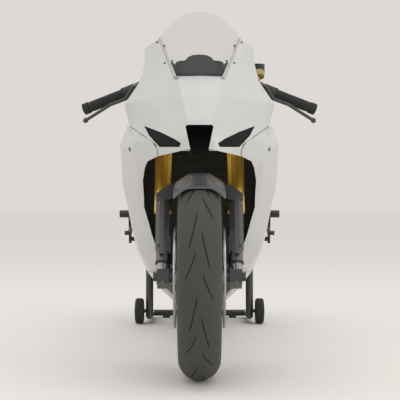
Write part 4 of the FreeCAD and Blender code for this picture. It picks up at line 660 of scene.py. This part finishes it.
def build_tyre(node, axle, spread, sidewall, body):
    half, radius = half_and_radius(node)
    shape = tyre_shape(axle, radius, half, spread, sidewall, sizes().bead_radius)
    make_piece(node + "_tread", carved(shape, slit_blades(axle, radius, half, sidewall)), "tyre_rubber",
               body, (node,))


class BIKE_OT_tyres(bpy.types.Operator):
    """Round tyres with slanted slits cut into their tread"""

    bl_idname = "bike.tyres"
    bl_label = "Tyres"

    def execute(self, context):
        build_tyre("front_tyre", AXLE, FRONT_BEAD, sizes().front_crown, "front_wheel")
        build_tyre("rear_tyre", REAR_AXLE, REAR_BEAD, sizes().rear_crown, "rear_wheel")
        return {"FINISHED"}


RADIATOR_TANK = 0.014
TUBE_LIFT = 0.001
TUBE_DEPTH = 0.004
TUBE_SHARE = 0.28
ROWS_A_BAR = 4
BAR_SEGMENTS = 10
OVERLAP = 0.001


def half_width_at(node, z):
    """Half the width of a node at a height."""
    found = [0.0]
    for edge in NODES[node].data.edges:
        a, b = (NODES[node].data.vertices[index].co for index in edge.vertices)
        if min(a.z, b.z) <= z < max(a.z, b.z):
            found.append(abs(a.lerp(b, (z - a.z) / (b.z - a.z)).x))
    return max(found)


class BIKE_OT_radiator(bpy.types.Operator):
    """Rows of flat tubes across the radiator's front"""

    bl_idname = "bike.radiator"
    bl_label = "Radiator tubes"

    def execute(self, context):
        low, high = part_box("radiator")
        tank, pitch = RADIATOR_TANK, sizes().tube_pitch
        tubes, bars = bmesh.new(), bmesh.new()
        count = int((high[2] - low[2] - tank) / pitch)
        for row in range(1, count):
            z = low[2] + tank / 2 + row * pitch
            half = half_width_at("radiator", z) - tank
            add_box(tubes, (0, low[1] - TUBE_LIFT, z), (2 * half, TUBE_DEPTH, pitch * TUBE_SHARE))
        for row in range(count // ROWS_A_BAR):
            z = low[2] + tank + row * pitch * ROWS_A_BAR
            top = min(z + pitch * ROWS_A_BAR, high[2] - tank)
            foot, head = (half_width_at("radiator", height) - tank / 2 for height in (z, top))
            for side in (1, -1):
                add_rod(bars, (side * foot, low[1], z), (side * head, low[1], top + OVERLAP), tank / 2,
                        segments=BAR_SEGMENTS)
        make_piece("radiator_tubes", tubes, "tube_grey", "chassis")
        make_piece("radiator_sides", bars, "switch_plastic", "chassis")
        return {"FINISHED"}


STUD_HEIGHT = 0.0016
STUD_SINK = 0.001
STUD_TAPER = 0.82
STUD_SEGMENTS = 18
# A screw's slot is painted shade: a thin black box across the head, where a real slot's recess is in shade
SLOT_LENGTH = 1.5
SLOT_WIDTH = 0.34
SLOT_DEPTH = 0.0012
SLOT_TURN = 0.6
SKIN = ("nose_fairing", "side_fairing_left", "side_fairing_right")
# Name, the nodes that carry them, pixels of the photograph's left half, radius, finish, slot and body
STUDS = (
    ("screen_screws", ("windscreen",), ((172.3, 61.2), (164.4, 45.9)), 0.0042,
     "screw_steel", "white_panel", "chassis"),
    ("panel_screws", SKIN, ((157.4, 42.3), (164.8, 63.1)), 0.0042,
     "screw_steel", "white_panel", "chassis"),
    ("quarter_turns", SKIN, ((123.9, 127.5), (129.5, 149.3)), 0.0062,
     "screw_steel", "white_panel", "chassis"),
    ("clamp_bolts", ("axle_clamps",), ((162.4, 282.2),), 0.0044,
     "screw_steel", "caliper_black", "steering"),
    ("guard_bolts", ("front_fender",), ((158.4, 245.5),), 0.0050,
     "trim_black", "switch_plastic", "steering"),
)


def add_stud(work, point, normal, radius):
    add_rod(work, point - normal * STUD_SINK, point + normal * STUD_HEIGHT, radius, radius * STUD_TAPER,
            segments=STUD_SEGMENTS)


# Painted shade of a screw's slot: a thin black box laid across the head
def add_slot_shade(work, point, normal, radius):
    turn = turn_between((0, 0, 0), normal) @ Matrix.Rotation(SLOT_TURN, 4, "Z")
    add_box(work, point + normal * STUD_HEIGHT, (radius * SLOT_LENGTH, radius * SLOT_WIDTH, SLOT_DEPTH), turn)


def build_studs(name, nodes, pixels, radius, stud_finish, slot, body):
    """Round heads, each with a thin black box across it as painted shade of its slot, on both halves of the bike,
    where the photograph has them.
    """
    heads, slot_shades = bmesh.new(), bmesh.new()
    trees = [surface_of(node) for node in nodes]
    lens = photo_ray(*PHOTO_CENTRE)[0]
    for u, v in list(pixels) + mirrored_pixels(pixels):
        found = [seen_at(tree, u, v) for tree in trees]
        found = sorted((hit for hit in found if hit[0]), key=lambda hit: (hit[0] - lens).length)
        if found:
            add_stud(heads, *found[0], radius)
            add_slot_shade(slot_shades, *found[0], radius)
    make_piece(name, heads, stud_finish, body)
    make_piece(name + "_slots", slot_shades, "trim_black", body)


class BIKE_OT_fasteners(bpy.types.Operator):
    """Screws of the screen and panels, and the bolts of the axle clamps"""

    bl_idname = "bike.fasteners"
    bl_label = "Fasteners"

    def execute(self, context):
        for row in STUDS:
            build_studs(*row)
        return {"FINISHED"}


# The seams are painted shade: thin dark strips laid on the panels along the gaps between them
UPPER_SEAM_PIXELS = ((125.2, 123.2), (134.5, 129.4), (144.0, 136.0), (153.0, 142.4), (157.4, 146.8))
LOWER_SEAM_PIXELS = ((157.6, 150.6), (158.1, 155.7))
SEAM_STEPS = 8
SEAM_LONGEST = 0.02  # a longer step means that the seam has left the panel
SEAM_LIFT = 0.0004
SEAM_DEPTH = 0.0008


def add_seam(work, tree, pixels):
    """A thin dark strip of painted shade for a panel gap, which follows a surface through pixels of the
    photograph.
    """
    half = sizes().seam_width / 2
    points = []
    for (u0, v0), (u1, v1) in zip(pixels, pixels[1:]):
        for step in range(SEAM_STEPS):
            share = step / SEAM_STEPS
            points.append(seen_at(tree, u0 + (u1 - u0) * share, v0 + (v1 - v0) * share))
    points = [pair for pair in points if pair[0]]
    for (a, normal), (b, _) in zip(points, points[1:]):
        if (b - a).length <= SEAM_LONGEST:
            side, lift = (b - a).cross(normal).normalized() * half, normal * SEAM_LIFT
            corners = (a - side, b - side, b + side, a + side)
            work.faces.new([work.verts.new(corner + lift) for corner in corners])


class BIKE_OT_seams(bpy.types.Operator):
    """Thin dark strips along the gaps between the nose and the side panels, painted shade of the gaps"""

    bl_idname = "bike.seams"
    bl_label = "Panel seams"

    def execute(self, context):
        work = bmesh.new()
        for node, turned in (("side_fairing_right", False), ("side_fairing_left", True),
                             ("nose_fairing", False), ("nose_fairing", True)):
            tree = surface_of(node)
            for pixels in (UPPER_SEAM_PIXELS, LOWER_SEAM_PIXELS):
                add_seam(work, tree, mirrored_pixels(pixels) if turned else pixels)
        bmesh.ops.solidify(work, geom=work.faces[:], thickness=SEAM_DEPTH)
        make_piece("panel_seam_painted_shade", work, "trim_black", "chassis")
        return {"FINISHED"}


SEAL_LOW, SEAL_HIGH, SLEEVE_TOP = 0.041, 0.047, 0.085
SEAL_RADIUS = 0.0205
SLEEVE_RADIUS = 0.0182


def fork_point(side, height):
    """A point on a fork leg's axis, at a height along the leg above the axle."""
    return AXLE + STEER_AXIS * height + Vector((side * FORK_HALF, 0, 0))


class BIKE_OT_fork_trim(bpy.types.Operator):
    """The seal rings and sleeves above the bright legs"""

    bl_idname = "bike.fork_trim"
    bl_label = "Fork trim"

    def execute(self, context):
        rings, sleeves = bmesh.new(), bmesh.new()
        for side in (1, -1):
            low, high, top = (fork_point(side, height) for height in (SEAL_LOW, SEAL_HIGH, SLEEVE_TOP))
            add_rod(rings, low, high, SEAL_RADIUS, segments=FINE_SEGMENTS)
            add_rod(sleeves, high, top, SLEEVE_RADIUS, segments=FINE_SEGMENTS)
        make_piece("fork_rings", rings, "trim_black", "steering")
        make_piece("fork_sleeves", sleeves, "sleeve_grey", "steering")
        return {"FINISHED"}


LINK_HEIGHT = 0.0115
LINK_THICK = 0.0014
LINK_INSETS = (0.0026, 0.0010)
LINK_OVER = 0.45
LINK_CORNER = 0.3
CROSSWISE = 0.9  # how much of a plate's corner edge points across the bike
PIN_RISE = 0.0063  # from a sprocket's tips out to the pins
ROLLER_HALF, ROLLER_RADIUS, ROLLER_SEGMENTS = 0.30, 0.42, 10
PIN_HALF, PIN_RADIUS, PIN_SEGMENTS = 0.495, 0.18, 6


def chain_route(front, rear, front_radius, rear_radius, pitch):
    """Pin places round the two sprockets, evenly spaced."""
    span = rear - front
    slope = math.asin((rear_radius - front_radius) / span.length)
    along = math.atan2(span.z, span.y)
    top, low = along + math.pi / 2 + slope, along - math.pi / 2 - slope
    straight = math.sqrt(span.length ** 2 - (rear_radius - front_radius) ** 2)
    rear_arc = rear_radius * (top - low)
    front_arc = front_radius * (2 * math.pi - (top - low))
    total = 2 * straight + rear_arc + front_arc
    count = 2 * round(total / pitch / 2)

    def polar(centre, radius, angle):
        return centre + Vector((0, radius * math.cos(angle), radius * math.sin(angle)))

    def place(run):
        run %= total
        if run < straight:
            return polar(front, front_radius, top).lerp(polar(rear, rear_radius, top), run / straight)
        run -= straight
        if run < rear_arc:
            return polar(rear, rear_radius, top - run / rear_radius)
        run -= rear_arc
        if run < straight:
            return polar(rear, rear_radius, low).lerp(polar(front, front_radius, low), run / straight)
        return polar(front, front_radius, low - (run - straight) / front_radius)

    return [place(total * number / count) for number in range(count)]


class BIKE_OT_chain(bpy.types.Operator):
    """A roller chain, link by link, on the route of the plain loop"""

    bl_idname = "bike.chain"
    bl_label = "Drive chain"

    def execute(self, context):
        low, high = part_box("drive_chain")
        width, across = high[0] - low[0], Vector((1, 0, 0))
        (front, front_radius), (rear, rear_radius) = (
            (middle(node), half_and_radius(node)[1]) for node in ("front_sprocket", "rear_sprocket"))
        front.x = rear.x = (low[0] + high[0]) / 2
        pins = chain_route(front, rear, front_radius + PIN_RISE, rear_radius + PIN_RISE, sizes().chain_pitch)
        plates, rollers = bmesh.new(), bmesh.new()
        for number, (a, b) in enumerate(zip(pins, pins[1:] + pins[:1])):
            offset = width / 2 - LINK_INSETS[number % 2]
            way = (b - a).normalized()
            turn = Matrix((across, way, across.cross(way))).transposed().to_4x4()
            for side in (1, -1):
                add_box(plates, (a + b) / 2 + across * side * offset,
                        (LINK_THICK, (b - a).length + LINK_HEIGHT * LINK_OVER, LINK_HEIGHT), turn)
            for half, radius, segments in ((ROLLER_HALF, ROLLER_RADIUS, ROLLER_SEGMENTS),
                                           (PIN_HALF, PIN_RADIUS, PIN_SEGMENTS)):
                reach = across * width * half
                add_rod(rollers, a - reach, a + reach, LINK_HEIGHT * radius, segments=segments)
        corners = [edge for edge in plates.edges
                   if abs((edge.verts[0].co - edge.verts[1].co).normalized().x) > CROSSWISE]
        round_edges(plates, corners, LINK_HEIGHT * LINK_CORNER, 1)
        make_piece("chain_plates", plates, "chain_steel", "chassis", ("drive_chain",))
        make_piece("chain_rollers", rollers, "chain_steel", "chassis")
        return {"FINISHED"}


# Node, axle, inner and outer radius of its band, rows and number of holes, scale and body
DISCS = (
    ("front_discs", AXLE, (0.122, 0.160), 4, 56, 0.94, "front_wheel"),
    ("rear_disc", REAR_AXLE, (0.078, 0.110), 3, 36, 1.0, "rear_wheel"),
)
DRILL_BAND = (0.18, 0.82)  # the shares of the band between which the holes lie
DRILL_OVER = 0.01


def disc_drills(axle, band, x_range, rows, count):
    inner, outer = (band[0] + (band[1] - band[0]) * share for share in DRILL_BAND)
    work = bmesh.new()
    for number in range(count):
        angle = 2 * math.pi * number / count
        radius = inner + (outer - inner) * (number % rows) / (rows - 1)
        y, z = axle.y + radius * math.cos(angle), axle.z + radius * math.sin(angle)
        add_rod(work, (x_range[0], y, z), (x_range[1], y, z), sizes().disc_hole, segments=ROLLER_SEGMENTS)
    return work


class BIKE_OT_discs(bpy.types.Operator):
    """Drilled brake discs"""

    bl_idname = "bike.discs"
    bl_label = "Brake discs"

    def execute(self, context):
        for node, axle, band, rows, count, scale, body in DISCS:
            low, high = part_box(node)
            drills = disc_drills(axle, band, (low[0] - DRILL_OVER, high[0] + DRILL_OVER), rows, count)
            disc = carved(copied_mesh(node), drills)
            bmesh.ops.scale(disc, vec=(1, scale, scale), space=Matrix.Translation(-axle), verts=disc.verts)
            make_piece(node + "_drilled", disc, "disc_steel", body, (node,))
        return {"FINISHED"}


STAND_SEGMENTS = 64
STAND_RIM_DEGREES = 60
STAND_ROUND = 0.62
STAND_ROUND_STEPS = 6
CAP_SINK, CAP_LIFT = 0.004, 0.003
CAP_FOOT, CAP_FACE = 0.34, 0.26


class BIKE_OT_stand_wheels(bpy.types.Operator):
    """Rounded stand wheels with pale hub caps"""

    bl_idname = "bike.stand_wheels"
    bl_label = "Stand wheels"

    def execute(self, context):
        for side, node, body in ((1, "stand_wheel_left", "left_stand_wheel"),
                                 (-1, "stand_wheel_right", "right_stand_wheel")):
            centre, outward = middle(node), Vector((side, 0, 0))
            half, radius = half_and_radius(node)
            roller = bmesh.new()
            add_rod(roller, centre - outward * half, centre + outward * half, radius, segments=STAND_SEGMENTS)
            round_edges(roller, sharp_edges(roller, STAND_RIM_DEGREES), half * STAND_ROUND, STAND_ROUND_STEPS)
            make_piece(node + "_roller", roller, "grip_rubber", body, (node,))
            caps = bmesh.new()
            add_rod(caps, centre + outward * (half - CAP_SINK), centre + outward * (half + CAP_LIFT),
                    radius * CAP_FOOT, radius * CAP_FACE, segments=ROUND_SEGMENTS)
            make_piece(node + "_cap", caps, "sleeve_grey", body)
        return {"FINISHED"}


SEAT_RIM_DEGREES = 30
SEAT_ROUND = 0.008
SEAT_ROUND_STEPS = 4
SEAT_SMOOTH_DEGREES = 60


class BIKE_OT_seat(bpy.types.Operator):
    """The foam seat pad with its edges rounded"""

    bl_idname = "bike.seat"
    bl_label = "Seat pad"

    def execute(self, context):
        work = copied_mesh("seat_pad")
        round_edges(work, sharp_edges(work, SEAT_RIM_DEGREES), SEAT_ROUND, SEAT_ROUND_STEPS, clamp=True)
        piece = make_piece("seat_pad_foam", work, "seat_foam", "chassis", ("seat_pad",),
                           SEAT_SMOOTH_DEGREES)
        return {"FINISHED"}


BAR_END_SHARE = 0.12


def box_of(points):
    """The lowest and the highest corner of a group of points."""
    return (Vector([pick(point[axis] for point in points) for axis in range(3)]) for pick in (min, max))


def end_centres(node, side):
    """The middles of a bar's two ends on one side of the bike, from the inner one outwards."""
    points = [vert.co for vert in NODES[node].data.vertices if vert.co.x * side > 0]
    near, far = min(abs(point.x) for point in points), max(abs(point.x) for point in points)
    reach = (far - near) * BAR_END_SHARE
    centres = []
    for test in (lambda x: x < near + reach, lambda x: x > far - reach):
        low, high = box_of([point for point in points if test(abs(point.x))])
        centres.append((low + high) / 2)
    return centres


# Flange, sleeve and end weight: where each starts and ends as a share of the grip's length, and its radius
GRIP_PROFILE = ((-0.06, 0.0, 0.0205), (0.0, 0.90, 0.0165), (0.90, 1.04, 0.0188))
GRIP_RINGS = 16
RING_FIRST, RING_SPAN, RING_LENGTH = 0.06, 0.78, 0.022
RING_RADIUS = 0.0173


class BIKE_OT_grips(bpy.types.Operator):
    """Ribbed grips with a flange at the root and a weight at the end"""

    bl_idname = "bike.grips"
    bl_label = "Grips"

    def execute(self, context):
        work = bmesh.new()
        for side in (1, -1):
            root, tip = end_centres("grips", side)
            for start, end, radius in GRIP_PROFILE:
                add_rod(work, root.lerp(tip, start), root.lerp(tip, end), radius, segments=ROUND_SEGMENTS)
            for ring in range(GRIP_RINGS):
                share = RING_FIRST + RING_SPAN * ring / GRIP_RINGS
                add_rod(work, root.lerp(tip, share), root.lerp(tip, share + RING_LENGTH), RING_RADIUS,
                        segments=ROUND_SEGMENTS)
        make_piece("grip_sleeves", work, "grip_rubber", "steering", ("grips",))
        return {"FINISHED"}


LID_BAND = 0.012  # the lid's place is taken from the vertices this near the reservoir's top
LID_LIFT = 0.001
LID_HEIGHT = 0.030
LID_OVER = 0.0015


class BIKE_OT_reservoir(bpy.types.Operator):
    """The black screw cap of the fluid reservoir"""

    bl_idname = "bike.reservoir"
    bl_label = "Reservoir cap"

    def execute(self, context):
        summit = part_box("fluid_reservoir")[1][2]
        vertices = NODES["fluid_reservoir"].data.vertices
        low, high = box_of([vert.co for vert in vertices if vert.co.z > summit - LID_BAND])
        top = Vector(((low.x + high.x) / 2, (low.y + high.y) / 2, summit + LID_LIFT))
        work = bmesh.new()
        add_rod(work, top - Vector((0, 0, LID_HEIGHT)), top, (high.x - low.x) / 2 + LID_OVER,
                segments=ROUND_SEGMENTS)
        make_piece("reservoir_cap", work, "trim_black", "steering")
        return {"FINISHED"}


CAN_SHARE = 0.80  # the can's radius as a share of the CAD solid's
# The mouth is painted shade: a black disc on the tail stands for the dark inside of an open mouth
MOUTH_SHARE = 0.5
MOUTH_SINK, MOUTH_LIFT = 0.004, 0.0012
# The can's profile: shares of its length and of its radius
CAN_PROFILE = ((0.0, 0.62), (0.20, 0.90), (0.34, 1.0), (0.84, 1.0), (0.90, 0.96), (1.0, 0.66))


class BIKE_OT_silencer(bpy.types.Operator):
    """The silencer's can with coned ends, and on its tail a black disc that is painted shade for an open mouth"""

    bl_idname = "bike.silencer"
    bl_label = "Silencer"

    def execute(self, context):
        points = sorted((vert.co for vert in NODES["silencer"].data.vertices), key=lambda point: point.y)
        third = len(points) // 3
        start, end = (sum(group, Vector()) / third for group in (points[:third], points[-third:]))
        way = (end - start).normalized()
        radius = half_and_radius("silencer")[0] * CAN_SHARE
        work = bmesh.new()
        for (share, size), (other, next_size) in zip(CAN_PROFILE, CAN_PROFILE[1:]):
            add_rod(work, start.lerp(end, share), start.lerp(end, other), radius * size, radius * next_size,
                    FINE_SEGMENTS)
        bmesh.ops.remove_doubles(work, verts=work.verts, dist=WELD)
        make_piece("silencer_can", work, "exhaust_steel", "chassis", ("silencer",))
        # A black disc on the tail, which is painted shade for the dark inside of an open mouth
        mouth = bmesh.new()
        add_rod(mouth, end - way * MOUTH_SINK, end + way * MOUTH_LIFT, radius * MOUTH_SHARE,
                segments=ROUND_SEGMENTS)
        make_piece("silencer_mouth_painted_shade", mouth, "liner_black", "chassis")
        return {"FINISHED"}


GLASS_SIZE = (0.112, 0.003, 0.05)
GLASS_LIFT = 0.0008
GLASS_RISE = 0.012


class BIKE_OT_dash(bpy.types.Operator):
    """The display on the rider's side of the instrument panel"""

    bl_idname = "bike.dash"
    bl_label = "Instrument display"

    def execute(self, context):
        low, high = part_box("instrument_panel")
        glass = bmesh.new()
        add_box(glass, (0, high[1] + GLASS_LIFT, (low[2] + high[2]) / 2 + GLASS_RISE), GLASS_SIZE)
        make_piece("display_glass", glass, "display_glass", "chassis")
        return {"FINISHED"}


class BIKE_OT_materials(bpy.types.Operator):
    """Make every finish"""

    bl_idname = "bike.materials"
    bl_label = "Finishes"

    def execute(self, context):
        build_materials()
        return {"FINISHED"}


class BIKE_OT_stage(bpy.types.Operator):
    """Build the pale studio, its lamps and the camera"""

    bl_idname = "bike.stage"
    bl_label = "Stage"

    def execute(self, context):
        build_floor()
        build_lamps()
        build_camera()
        return {"FINISHED"}


FLOOR_SIZE = 80.0
SKY_COLOUR, SKY_STRENGTH = (1.0, 0.988, 0.97, 1), 0.82
BACKDROP_COLOUR = (0.723, 0.694, 0.658, 1)
LAMP_COLOUR = (1.0, 0.985, 0.96)
LAMP_AIM = Vector((0, 0, 0.6))
# Name, place, size in metres and power in watts of each lamp
LAMPS = (
    ("top_softbox", (0.2, -1.0, 5.0), 5.0, 58.0),
    ("front_softbox", (0.0, -6.5, 3.2), 3.0, 19.0),
    ("left_softbox", (-3.6, -1.0, 2.2), 2.2, 8.0),
    ("right_softbox", (4.2, -2.6, 1.5), 2.4, 30.0),
)
PHOTO_SIZE = 400
PHOTO_SHIFT = (0.5, 5)  # in the photograph's pixels
FILM_WIDTH = 36.0  # millimetres


def build_floor():
    """A pale floor that runs out to the horizon."""
    work = bmesh.new()
    bmesh.ops.create_grid(work, x_segments=1, y_segments=1, size=FLOOR_SIZE)
    mesh = bpy.data.meshes.new("studio_floor")
    write_back(work, mesh)
    floor = placed("studio_floor", mesh)
    mesh.materials.append(MATERIALS["floor_paper"])


def build_lamps():
    """Four soft lamps and a soft sky, which the camera sees as a plain pale backdrop."""
    world = bpy.data.worlds.new("studio_world")
    bpy.context.scene.world = world
    world.use_nodes = True
    nodes, links = world.node_tree.nodes, world.node_tree.links
    sky = set_inputs(nodes["Background"], {"Color": SKY_COLOUR, "Strength": SKY_STRENGTH})
    seen = set_inputs(nodes.new("ShaderNodeBackground"), {"Color": BACKDROP_COLOUR})
    path = nodes.new("ShaderNodeLightPath")
    choice = nodes.new("ShaderNodeMixShader")
    links.new(path.outputs["Is Camera Ray"], choice.inputs["Fac"])
    links.new(sky.outputs["Background"], choice.inputs[1])
    links.new(seen.outputs["Background"], choice.inputs[2])
    links.new(choice.outputs["Shader"], nodes["World Output"].inputs["Surface"])
    for name, place, size, power in LAMPS:
        lamp = bpy.data.lights.new(name, "AREA")
        lamp.energy = power
        lamp.shape = "SQUARE"
        lamp.size = size
        lamp.color = LAMP_COLOUR
        holder = placed(name, lamp)
        holder.location = place
        holder.rotation_euler = (LAMP_AIM - Vector(place)).to_track_quat("-Z", "Y").to_euler()


def build_camera():
    """A level camera straight ahead of the bike, shifted as the photograph is framed."""
    camera = bpy.data.cameras.new("photo_camera")
    camera.sensor_width = FILM_WIDTH
    camera.lens = sizes().camera_lens
    camera.shift_x, camera.shift_y = (shift / PHOTO_SIZE for shift in PHOTO_SHIFT)
    camera.dof.use_dof = False
    holder = placed("photo_camera", camera)
    holder.location = (0, AXLE.y - sizes().camera_distance, sizes().camera_height)
    holder.rotation_euler = (math.pi / 2, 0, 0)
    bpy.context.scene.camera = holder


class BIKE_PT_panel(bpy.types.Panel):
    """Lists the bike's operators in the sidebar"""

    bl_label = "Sport Bike"
    bl_idname = "BIKE_PT_panel"
    bl_space_type = "VIEW_3D"
    bl_region_type = "UI"
    bl_category = "Sport Bike"

    def draw(self, context):
        for operator in OPERATORS:
            self.layout.operator(operator.bl_idname)


OPERATORS = (BIKE_OT_materials, BIKE_OT_stage, BIKE_OT_dress, BIKE_OT_tyres, BIKE_OT_radiator,
             BIKE_OT_fasteners, BIKE_OT_seams, BIKE_OT_fork_trim, BIKE_OT_chain, BIKE_OT_discs,
             BIKE_OT_stand_wheels, BIKE_OT_seat, BIKE_OT_dash, BIKE_OT_grips, BIKE_OT_reservoir,
             BIKE_OT_silencer)
CLASSES = (BikeColours, BikeSizes) + OPERATORS + (BIKE_PT_panel,)


def register():
    for item in CLASSES:
        bpy.utils.register_class(item)
    bpy.types.Scene.bike_colours = bpy.props.PointerProperty(type=BikeColours)
    bpy.types.Scene.bike_sizes = bpy.props.PointerProperty(type=BikeSizes)


def unregister():
    del bpy.types.Scene.bike_sizes
    del bpy.types.Scene.bike_colours
    for item in reversed(CLASSES):
        bpy.utils.unregister_class(item)


def main():
    register()
    bpy.context.scene.view_settings.view_transform = "Standard"
    bpy.ops.bike.materials()
    bpy.ops.bike.stage()
    bpy.ops.bike.dress()
    bpy.ops.bike.tyres()
    bpy.ops.bike.radiator()
    bpy.ops.bike.fasteners()
    bpy.ops.bike.seams()
    bpy.ops.bike.fork_trim()
    bpy.ops.bike.chain()
    bpy.ops.bike.discs()
    bpy.ops.bike.stand_wheels()
    bpy.ops.bike.seat()
    bpy.ops.bike.dash()
    bpy.ops.bike.grips()
    bpy.ops.bike.reservoir()
    bpy.ops.bike.silencer()


if __name__ == "__main__":
    main()
